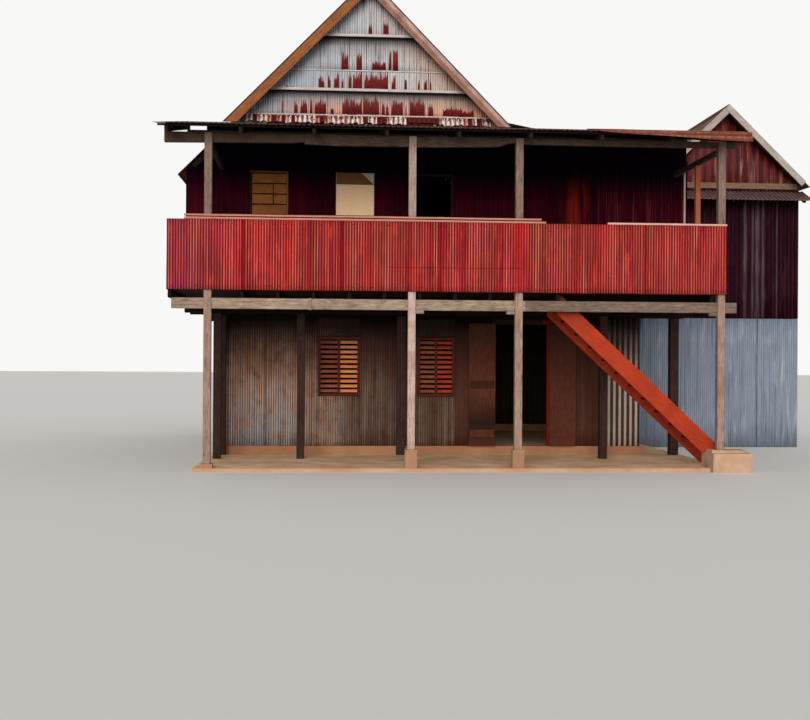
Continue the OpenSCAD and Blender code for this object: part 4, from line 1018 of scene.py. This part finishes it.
def nail_row(work, plane, u0, u1, v, n, wave, seed):
    """Nails with round washers along a rail, on every third to fifth crest."""
    draw = random.Random(seed * 31 + round(v * 100))
    u = (math.floor(u0 / wave) + 1) * wave
    while u < u1:
        nail_head(work, plane, u, v + draw.uniform(-0.006, 0.006), n)
        u += wave * draw.choice((3, 4, 4, 5))


def nail_head(work, plane, u, v, n):
    """A nail's low round head on its washer."""
    corners = 8
    turns = [k * math.tau / corners for k in range(corners)]
    sizes = (NAIL_RADIUS, NAIL_RADIUS * 0.6)
    us = [u + size * math.cos(turn) for size in sizes for turn in turns] + [u]
    vs = [v + size * math.sin(turn) for size in sizes for turn in turns] + [v]
    ns = [n - 0.002] * corners + [n + NAIL_HEIGHT * 0.8] * corners + [n + NAIL_HEIGHT]
    pairs = [(k, (k + 1) % corners) for k in range(corners)]
    faces = [(a, b, b + corners, a + corners) for a, b in pairs]
    faces += [(a + corners, b + corners, 2 * corners) for a, b in pairs]
    faces.append(tuple(range(corners))[::-1])
    points = plane.place(np.array(us), np.array(vs), np.array(ns))
    work.add(points, faces, crest=0.0, tone=0.1, foot=2.0, side=u, line=0.0)


def weathered(node, material, chamfer=0.006, body=HOUSE, pick=None, name=None):
    """A node's own timbers, or those that pick chooses by their middle, with worn edges and a grain each."""
    work = Work()
    draw = random.Random(1)
    for points, faces in islands(node):
        if pick and not pick(sum(points, Vector()) / len(points)):
            continue
        shape = bmesh.new()
        verts = [shape.verts.new(p) for p in points]
        for face in faces:
            if len(set(face)) > 2 and not shape.faces.get([verts[i] for i in face]):
                shape.faces.new([verts[i] for i in face])
        bmesh.ops.dissolve_limit(shape, angle_limit=math.radians(1), verts=shape.verts, edges=shape.edges)
        sharp = [e for e in shape.edges if len(e.link_faces) == 2 and e.calc_face_angle(0) > SHARP_ANGLE]
        longest = max(shape.edges, key=lambda e: e.calc_length())
        axis = (longest.verts[1].co - longest.verts[0].co).normalized()
        side = axis.cross(UP if abs(axis.z) < 0.9 else EAST).normalized()
        top = side.cross(axis)
        thin = min(max(p.dot(d) for p in points) - min(p.dot(d) for p in points) for d in (side, top))
        bmesh.ops.bevel(shape, geom=sharp, offset=min(chamfer, thin * 0.2), segments=1, affect="EDGES",
                        clamp_overlap=True)
        shape.verts.index_update()
        co = np.array([v.co for v in shape.verts])
        shift = draw.uniform(0, 60)
        along, across, tall = (co @ np.array(direction) + shift for direction in (axis, side, top))
        work.add(co, [[v.index for v in f.verts] for f in shape.faces], along=along, across=across, tall=tall,
                 tone=draw.random())
        shape.free()
    work.piece((name or node) + "_timber", material, node, body=body)


# Skirt, walls and roofs of sheet

reclad("parapet_front", SKIRT_RED, FINE, SKIRT_COVER, 11, "front", rows=10, slot="red_sheet", start=-0.36,
       nails=(0.05, 0.92), line=dark_marks((-3.163, 0.02), (-1.788, 0.032), (-0.402, 0.02), (2.52, 0.015)))
reclad("parapet_ends", SKIRT_RED, FINE, SKIRT_COVER, 12, rows=8, slot="red_sheet")
reclad("upper_front_wall", UPPER_WALL, FINE, WALL_COVER, 21, "front", rows=5, slip=0.002)
reclad("upper_rear_walls", MAROON, WIDE, WALL_COVER, 22, drop=0.06)
reclad("ground_rear_walls", BARE_SHEET, WIDE, WALL_COVER, 32, slip=0.0)
reclad("main_roof", ROOF_SHEET, WIDE, ROOF_COVER, 41, pitch=MAIN_PITCH, course=2.1, nails=(0.1, 1.2))
reclad("back_gable", ROOF_SHEET, WIDE, WALL_COVER, 42, "back", rows=5, laps={"back": (0.012, 0.012)})
reclad("veranda_roof", VERANDA_SHEET, WIDE, ROOF_COVER, 51, "front", VERANDA_PITCH,
       nails=(0.12, 0.95, 1.75, 2.5))
reclad("aisle_roof", RUSTY_SHEET, WIDE, ROOF_COVER, 53, "right", AISLE_PITCH)
reclad("wing_ground_walls", ZINC, FINE, WALL_COVER, 61, laps={"front": (0.14, 0.0)},
       line=dark_marks((5.94, 0.012)))
reclad("wing_upper_walls", WING_MAROON, FLAT_WIDE, WALL_COVER, 62,
       line=dark_marks((5.2, 0.02), (5.70, 0.03), (5.84, 0.015), (5.93, 0.035), (6.04, 0.02), (6.3, 0.01)))
reclad("wing_roof", ROOF_SHEET, WIDE, ROOF_COVER, 63, pitch=WING_PITCH)
reclad("wing_gables", GABLE_BOARDS, BOARDS, WALL_COVER, 64, rows=4)
reclad("wing_skirt_roof", MAUVE_SHEET, WIDE, ROOF_COVER, 65, "front", SKIRT_ROOF_PITCH)


# Sheets laid one by one

DEEP_DENT = 0.003

# The droop of the veranda's crosswise sheet: degrees below the roof's slope, and width at its left end
DROOP = 53.0
DROOP_START = 0.02

# Places along the ground wall: the smooth sheet by the doorway starts between the first two, and the run
# that starts past the third is fine, then smooth, then broad
DOOR_SHEET_X = (0.0, 0.3)
STAIR_SHEET_X = 1.6
SMOOTH_X = 2.05
BROAD_X = 2.47

# The flashing's missing wave, and its short rusty ones
FLASHING_GAP_X = -1.134
RUSTY_WAVES = (-0.74, -0.28)
RUSTY_CUT = 0.05

# The gable's courses: foot, head, and where and how high the paint has peeled, as (start, end, height)
GABLE_COURSES = (
    (5.10, LOW_SEAM, ((-3.0, 0.4, 0.1),)),
    (LOW_SEAM, LOW_LIP, (
        (-2.72, -2.7, 0.18), (-2.53, -2.32, 0.22), (-2.28, -2.02, 0.27), (-1.95, -1.9, 0.13),
        (-1.76, -1.45, 0.26), (-1.44, -1.18, 0.31), (-1.16, -1.09, 0.22), (-1.07, -0.74, 0.24),
        (-0.69, -0.45, 0.28), (-0.39, -0.31, 0.18), (-0.16, 0.34, 0.15))),
    (LOW_LIP, HIGH_SEAM, (
        (-2.66, -2.54, 0.07), (-2.15, -2.05, 0.25), (-2.0, -1.95, 0.22), (-1.9, -1.82, 0.27),
        (-1.78, -1.72, 0.25), (-1.67, -1.62, 0.27), (-1.6, -1.45, 0.33), (-1.42, -1.04, 0.3),
        (-0.99, -0.92, 0.28), (-0.78, -0.74, 0.25), (-0.57, -0.53, 0.2), (-0.47, -0.35, 0.22))),
    (HIGH_SEAM, HIGH_LIP, (
        (-1.81, -1.67, 0.31), (-1.54, -1.46, 0.33), (-1.3, -1.08, 0.18), (-1.03, -0.99, 0.34),
        (-0.97, -0.88, 0.33))),
    (HIGH_LIP, 7.5, ((-1.36, -1.3, 0.26), (-1.18, -1.15, 0.2), (-1.13, -1.04, 0.27))),
)


def cross_laid_sheet():
    """The sheet over the right corner of the veranda roof, its waves along the front.

    Its front waves droop over the eave, from 20 mm at the left end to two whole waves at the right.
    """
    work = Work()
    points = np.array(islands("corner_roof_sheet")[0][0])
    pitch, fold = math.radians(VERANDA_PITCH), math.radians(VERANDA_PITCH + DROOP)
    slope = Plane((0, 0, 0), (0, -math.cos(pitch), -math.sin(pitch)), (1, 0, 0))
    u, v, n = slope.read(points)
    left_end = points[:, 0] < points[:, 0].min() + 0.001
    seat = n[left_end].max() - WIDE_DEPTH
    eave = u[left_end & (n > seat)].max()
    sheet_row(work, slope, u.min(), eave, level(v.min()), level(v.max()), WIDE, ROOF_COVER, 52, rows=14,
              lift=seat, dent=DEEP_DENT, start=eave)
    droop = Plane(slope.place(eave, 0.0, seat), (0, -math.cos(fold), -math.sin(fold)), (1, 0, 0))
    reach = 2 * WIDE_WAVE
    taper = (v.max() - v.min()) / (reach - DROOP_START)
    sheet(work, droop, 0.0, reach, lambda x: v.min() + max(0.0, x - DROOP_START) * taper, level(v.max()),
          WIDE, 0.0, 0.4, 14, dent=DEEP_DENT)
    work.piece("corner_roof_sheet_waves", RUSTY_SHEET, "corner_roof_sheet", smooth=True)


def ground_front():
    """Front wall under the floor: fine sheets, smooth ones by the doorway and broad ones at the right end."""
    work, broad = Work(), Work()
    joints = dark_marks((-2.96, 0.008), (-1.22, 0.008), (SMOOTH_X, 0.01))
    for points, _ in islands("ground_front_wall"):
        u, v, n = FRONT.read(points)
        runs = [(u.min(), u.max(), FINE, 0.0)]
        if DOOR_SHEET_X[0] < u.min() < DOOR_SHEET_X[1]:
            runs = [(u.min(), u.max(), FLAT_FINE, 1.0)]
        elif u.min() > STAIR_SHEET_X:
            runs = [(u.min(), SMOOTH_X, FINE, 0.3), (SMOOTH_X, BROAD_X, FLAT_FINE, 1.0)]
            sheet_row(broad, FRONT, BROAD_X, u.max(), level(v.min()), level(v.max()), BROAD, BROAD_COVER, 33,
                      lift=n.min(), start=BROAD_X, tone=0.2)
        for a, b, waves, tone in runs:
            sheet_row(work, FRONT, a, b, level(v.min()), level(v.max()), waves, WALL_COVER, 31, slip=0.003,
                      lift=n.min(), tone=tone, line=joints)
    work.piece("ground_front_sheets", GROUND_WALL, "ground_front_wall", smooth=True, slot="bare_sheet")
    broad.piece("ground_front_broad_sheet", LIT_STRIPE_WALL, "ground_front_wall", smooth=True, slot="bare_sheet")


def peeled_paint(spans, seed):
    """The line value of one course: how high the paint has peeled over each span."""
    def height(x):
        """How high at one place; a column here and there has kept its paint."""
        draw = random.Random(seed * 977 + math.floor(x / FINE_WAVE))
        if draw.random() < 0.08:
            return 0.0
        return max(rise * draw.uniform(0.76, 1.2) if a <= x <= b else 0.0 for a, b, rise in spans)
    return height


def gable_front():
    """Three tiers with pale lips, seams between and the paint peeled from the foot of each course."""
    work, strips = Work(), Work()
    tiers = []
    for points, _ in sorted(islands("front_gable"), key=lambda island: min(p.z for p in island[0])):
        tiers.append(FRONT.read(points))
    for index, (u, v, n) in enumerate(tiers):
        lower, upper = hull_edges(u, v)
        lift = n.max() - (0.025 if index else 0.024)
        for low, high, spans in GABLE_COURSES:
            if high < v.min() + 0.03 or low > v.max() - 0.03:
                continue
            seed = round(low * 10)
            sheet_row(work, FRONT, u.min(), u.max(), lambda x: max(np.interp(x, *lower), low),
                      lambda x: min(np.interp(x, *upper), high + 0.02), GABLE_FINE, WALL_COVER, seed, rows=5,
                      slip=0.002, lift=lift, start=-0.2, line=peeled_paint(spans, seed))
        if index:
            foot = v.min()
            gable_strip(strips, tiers[index], foot, foot + 0.045, foot + 0.02, inset=0.005, depth=0.022,
                        chamfer=0.004)
    for z, tier in ((HIGH_SEAM, tiers[1]), (LOW_SEAM, tiers[0])):
        gable_strip(strips, tier, z - 0.011, z + 0.011, z, inset=0.01, depth=0.018, chamfer=0.003,
                    wobble=0.003)
    work.piece("gable_sheets", GABLE_PAINT, "front_gable", smooth=True, slot="gable_sheet")
    strips.piece("gable_strips", GABLE_STRIP, "front_gable")


def gable_strip(strips, tier, z0, z1, level_of_ends, inset, depth, **worn):
    """A strip from z0 to z1 on a tier of the gable, as long as the tier is wide at one height."""
    u, v, n = tier
    left, right = (np.interp(level_of_ends, *side) for side in hull_edges(v, u))
    box_timber(strips, (left + inset, -n.max(), z0), (right - inset, -n.max() + depth, z1), **worn)


def scalloped_flashing():
    """The strip between the gable and the veranda roof: single waves with ragged lower ends."""
    work = Work()
    draw = random.Random(17)
    low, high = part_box("gable_flashing")
    pitch = math.degrees(math.atan2(high.z - low.z - 0.012, high.y - low.y - 0.014))
    plane = slope_plane("front", pitch)
    u, v, n = plane.read(islands("gable_flashing")[0][0])
    for index in range(math.floor(u.min() / WIDE_WAVE), math.ceil(u.max() / WIDE_WAVE)):
        a, b = max(index * WIDE_WAVE, u.min()), min((index + 1) * WIDE_WAVE + 0.012, u.max())
        middle = (a + b) / 2
        if b - a < 0.03 or abs(middle - FLASHING_GAP_X) < 0.03:
            continue
        cut, tone = RUSTY_CUT, 0.9
        if not RUSTY_WAVES[0] < middle < RUSTY_WAVES[1]:
            cut = draw.uniform(0.0, 0.035)
            tone = draw.choice((0.1, 0.1, 0.1, 0.5, 0.9))
        sheet(work, plane, a, b, lambda x: v.min() + cut + 0.006 * math.sin(x * 60), level(v.max() - 0.002),
              WIDE, n.min(), tone, 5, steps=10, dent=DEEP_DENT)
    work.piece("gable_flashing_waves", FLASHING, "gable_flashing", smooth=True, slot="gable_sheet")


cross_laid_sheet()
ground_front()
gable_front()
scalloped_flashing()


# Windows and rails

LOWER_BATTEN_Z = 3.56
LEFT_WINDOW_X = -1.0


def louvre_windows():
    """Two pairs of fixed slats in a frame with a mullion."""
    frames, bright, dull, red = Work(), Work(), Work(), Work()
    rim, mullion, count = 0.043, 0.04, 11
    tilt = math.radians(40)
    for number, (points, _) in enumerate(islands("louvre_windows")):
        low, high = extent(points)
        middle = (low.x + high.x) / 2
        # The right-hand slats of the left window take the wood brightened by painted sheen
        lit = bright if middle < LEFT_WINDOW_X else red
        for a, b, inset in ((low.x, low.x + rim, 0.0), (high.x - rim, high.x, 0.0),
                            (middle - mullion / 2, middle + mullion / 2, rim)):
            box_timber(frames, (a, low.y, low.z + inset), (b, high.y, high.z - inset), chamfer=0.003,
                       seed=number)
        for z in (low.z, high.z - rim):
            box_timber(frames, (low.x + rim, low.y, z), (high.x - rim, high.y, z + rim), chamfer=0.003,
                       seed=number)
        pitch = (high.z - low.z - 2 * rim) / count
        y = low.y + 0.035
        for i in range(count):
            z = low.z + rim + (i + 0.5) * pitch
            for slats, a, b in ((dull, low.x + rim - 0.01, middle - 0.012),
                                (lit, middle + 0.012, high.x - rim + 0.01)):
                timber(slats, (a, y, z), (b, y, z), 0.064, 0.009, up=(0, -math.sin(tilt), math.cos(tilt)),
                       chamfer=0.002, seed=number * 40 + i)
    frames.piece("louvre_frames", LOUVRE_WOOD, "louvre_windows")
    bright.piece("louvre_slats_right", SLAT_VARNISH_AND_SHEEN, "louvre_windows")
    red.piece("louvre_slats_red", SLAT_RED, "louvre_windows")
    dull.piece("louvre_slats_left", SLAT_DARK, "louvre_windows")


def plank_shutter():
    """Upper left window: level planks with dark gaps, a darker stile and a pale strip at the head."""
    planks, back, edges = Work(), Work(), Work()
    low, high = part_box("plank_shutter")
    head, y0, y1 = high.z - 0.022, low.y + 0.002, low.y + 0.02
    plank, gap, stile, split = 0.145, 0.02, 0.04, low.x + 0.37
    box_timber(back, (low.x, y1, low.z), high, chamfer=0.002)
    box_timber(back, low, (low.x + 0.035, y1, head - 0.004), chamfer=0.003)
    box_timber(edges, (high.x - 0.03, low.y, low.z), (high.x, y1, head - 0.004), chamfer=0.003, seed=2)
    box_timber(edges, (low.x, low.y - 0.004, head), (high.x, y1, high.z), chamfer=0.003, seed=4)
    for row in range(4):
        z = low.z + 0.004 + row * (plank + gap)
        parts = [(low.x + stile, high.x - 0.034)]
        if row in (1, 2):
            parts = [(low.x + stile, split - 0.009), (split + 0.009, high.x - 0.034)]
        for a, b in parts:
            box_timber(planks, (a, y0, z), (b, y1, z + plank), chamfer=0.003, wobble=0.003,
                       seed=row * 5 + len(parts))
    planks.piece("plank_shutter_boards", GOLDEN_WOOD, "plank_shutter")
    back.piece("plank_shutter_gaps", DARK_WOOD, "plank_shutter")
    edges.piece("plank_shutter_frame", UMBER_WOOD, "plank_shutter")


def board_shutter():
    """Upper right window: one pale board, with a brown one and a pale corner above it."""
    pale, dark, edges = Work(), Work(), Work()
    low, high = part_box("board_shutter")
    y0, y1 = low.y + 0.003, low.y + 0.02
    joint, rim = high.z - 0.19, 0.006
    box_timber(pale, (low.x + rim, y0, low.z + 0.002), (high.x - rim, y1, joint - 0.002), chamfer=0.003)
    box_timber(dark, (low.x + rim, y0 + 0.004, joint + 0.002), (high.x - rim, y1, high.z - 0.004),
               chamfer=0.003)
    triangle = ((high.x - 0.2, high.z - 0.01), (high.x - 0.01, high.z - 0.01), (high.x - 0.01, joint + 0.01))
    corners = [(x, y, z) for y in (y0, y0 + 0.004) for x, z in triangle]
    faces = [(0, 2, 1), (3, 4, 5), (0, 1, 4, 3), (1, 2, 5, 4), (2, 0, 3, 5)]
    edges.add(corners, faces, along=0.3, across=0.1, tall=0.2, tone=0.4)
    for x in (low.x, high.x - rim):
        box_timber(edges, (x, low.y, low.z), (x + rim, high.y, high.z), chamfer=0.001)
    pale.piece("board_shutter_board", BEIGE_WOOD, "board_shutter")
    dark.piece("board_shutter_head", UMBER_WOOD, "board_shutter")
    edges.piece("board_shutter_edges", TRIM_WHITE, "board_shutter")


def top_rails():
    """Rails on the skirt: the left one of two battens, the right one single."""
    pink, orange = Work(), Work()
    for number, (points, _) in enumerate(islands("parapet_rails")):
        low, high = extent(points)
        rail = orange if low.x < 0 and low.z < LOWER_BATTEN_Z else pink
        box_timber(rail, low, high, chamfer=0.003, wobble=0.003, seed=number + 3)
    pink.piece("rail_battens", RAIL_PINK, "parapet_rails")
    orange.piece("rail_face", RAIL_ORANGE, "parapet_rails")


louvre_windows()
plank_shutter()
board_shutter()
top_rails()


# Timbers, each node with its own wood

BRIGHT_POST_X = (-1.0, 0.0)
VERANDA_BACK_Y = 1.6
WING_EAVE_Z = 5.0
WOODS = (
    (BEAM_WOOD, ("front_floor_beam", "beam_wedges")),
    (PLATE_WOOD, ("veranda_plate",)),
    (BARGE_WOOD, ("bargeboards",)),
    (TRIM_WHITE, ("corner_trim",)),
    (INNER_WOOD, ("inner_posts",)),
    (SHADED_JOIST_WOOD, ("floor_beams", "floor_joists")),
    (DARK_WOOD, ("parapet_frame", "upper_wall_frame", "roof_frame", "ground_wall_frame", "upper_door_frame")),
    (STAIR_PAINT, ("stair_stringers",)),
    (STAIR_DARK, ("stair_treads",)),
    (DARK_WOOD, ("wing_frame", "main_rafters", "main_purlins", "aisle_rafters", "aisle_battens",
                 "wing_rafters", "wing_battens", "veranda_rafters")),
    (FLOOR_WOOD, ("veranda_floor", "house_floor", "wing_floor")),
)
for wood, names in WOODS:
    for name in names:
        weathered(name, wood)

# Nodes whose timbers differ in wood: by place along X, depth from the front, and height
weathered("front_posts", BRIGHT_POST, pick=lambda middle: BRIGHT_POST_X[0] < middle.x < BRIGHT_POST_X[1],
          name="bright_post")
weathered("front_posts", POST_WOOD, pick=lambda middle: not BRIGHT_POST_X[0] < middle.x < BRIGHT_POST_X[1])
weathered("upper_posts", SLIM_WOOD, pick=lambda middle: middle.y < VERANDA_BACK_Y, name="slim_post")
weathered("upper_posts", INNER_WOOD, pick=lambda middle: middle.y > VERANDA_BACK_Y)
weathered("door_frame", JAMB_WOOD)
weathered("wing_board", WING_RAKE, pick=lambda middle: middle.z > WING_EAVE_Z, name="wing_rakes")
weathered("wing_board", WING_BEAM, pick=lambda middle: middle.z < WING_EAVE_Z)
for side in ("left", "right"):
    weathered(f"door_leaf_{side}", DOOR_WOOD, body=f"{side}_leaf", chamfer=0.003)

# Nodes of the frame that keep their shape
KEPT = {
    "ground_slab": CONCRETE, "wall_kerb": KERB, "post_plinths": PLINTH, "stair_foot_block": PLINTH,
    "door_pintles": IRON, "ridge_cap": IRON,
}
for name, material in KEPT.items():
    nodes[name].data.materials.clear()
    nodes[name].data.materials.append(material)


# Stage, light and camera

FLOOR_REACH = 120.0
FLOOR_COLOUR = (0.80, 0.80, 0.79, 1.0)
SOFT_SKY = {"Color": (1.0, 0.98, 0.95, 1.0), "Strength": 0.45}
WHITE_BACKDROP = {"Color": (0.94, 0.94, 0.93, 1.0), "Strength": 1.0}
KEY_COLOUR = (1.0, 0.95, 0.88)
KEY_STRENGTH = 2.7
KEY_SPREAD = 34
KEY_DIRECTION = (0.18, 0.94, -0.23)
CAMERA_PLACE = (-2.006, -15.961, 1.57)
CAMERA_TURN = -4.0
CAMERA_ROLL = 0.35
FOCAL_PIXELS = 1135
IMAGE_WIDTH = 810
SENSOR_WIDTH = 36.0


def lay_floor():
    """A plain pale floor, far wider than the house."""
    mesh = bpy.data.meshes.new("floor")
    corners = [(x * FLOOR_REACH, y * FLOOR_REACH, 0) for x, y in ((-1, -1), (1, -1), (1, 1), (-1, 1))]
    mesh.from_pydata(corners, [], [(0, 1, 2, 3)])
    material = bpy.data.materials.new("floor_plain")
    material.use_nodes = True
    shader = next(node for node in material.node_tree.nodes if node.type == "BSDF_PRINCIPLED")
    shader.inputs["Base Color"].default_value = FLOOR_COLOUR
    shader.inputs["Roughness"].default_value = 0.9
    mesh.materials.append(material)
    floor = bpy.data.objects.new("floor", mesh)
    bpy.context.scene.collection.objects.link(floor)


def light_studio():
    """Soft light from all round, a white backdrop for what the camera sees, and a broad key light."""
    world = bpy.data.worlds.new("studio")
    bpy.context.scene.world = world
    world.use_nodes = True
    world.node_tree.nodes.clear()
    build = Nodes(world.node_tree)
    path = build.add("ShaderNodeLightPath").outputs
    mirrored = build.math("MAXIMUM", path["Is Glossy Ray"], path["Is Transmission Ray"])
    seen = build.math("MAXIMUM", path["Is Camera Ray"], mirrored)
    soft = build.add("ShaderNodeBackground", SOFT_SKY).outputs[0]
    white = build.add("ShaderNodeBackground", WHITE_BACKDROP).outputs[0]
    mixed = build.add("ShaderNodeMixShader", {0: seen, 1: soft, 2: white}).outputs[0]
    build.add("ShaderNodeOutputWorld", {"Surface": mixed})
    key = bpy.data.lights.new("key", "SUN")
    key.energy = KEY_STRENGTH
    key.angle = math.radians(KEY_SPREAD)
    key.color = KEY_COLOUR
    lamp = bpy.data.objects.new("key", key)
    lamp.rotation_euler = Vector(KEY_DIRECTION).to_track_quat("-Z", "Y").to_euler()
    bpy.context.scene.collection.objects.link(lamp)


def place_camera():
    """The photo's camera, at eye height and turned a little to the right."""
    lens = bpy.data.cameras.new("camera")
    lens.sensor_width = SENSOR_WIDTH
    lens.lens = SENSOR_WIDTH * FOCAL_PIXELS / IMAGE_WIDTH
    lens.clip_end = 500
    camera = bpy.data.objects.new("camera", lens)
    turn = (Matrix.Rotation(math.radians(CAMERA_TURN), 4, "Z") @ Matrix.Rotation(math.radians(90), 4, "X")
            @ Matrix.Rotation(math.radians(CAMERA_ROLL), 4, "Z"))
    camera.matrix_world = Matrix.Translation(CAMERA_PLACE) @ turn
    bpy.context.scene.collection.objects.link(camera)
    bpy.context.scene.camera = camera


lay_floor()
light_studio()
place_camera()
bpy.context.scene.view_settings.view_transform = "Standard"

bpy.context.view_layer.update()
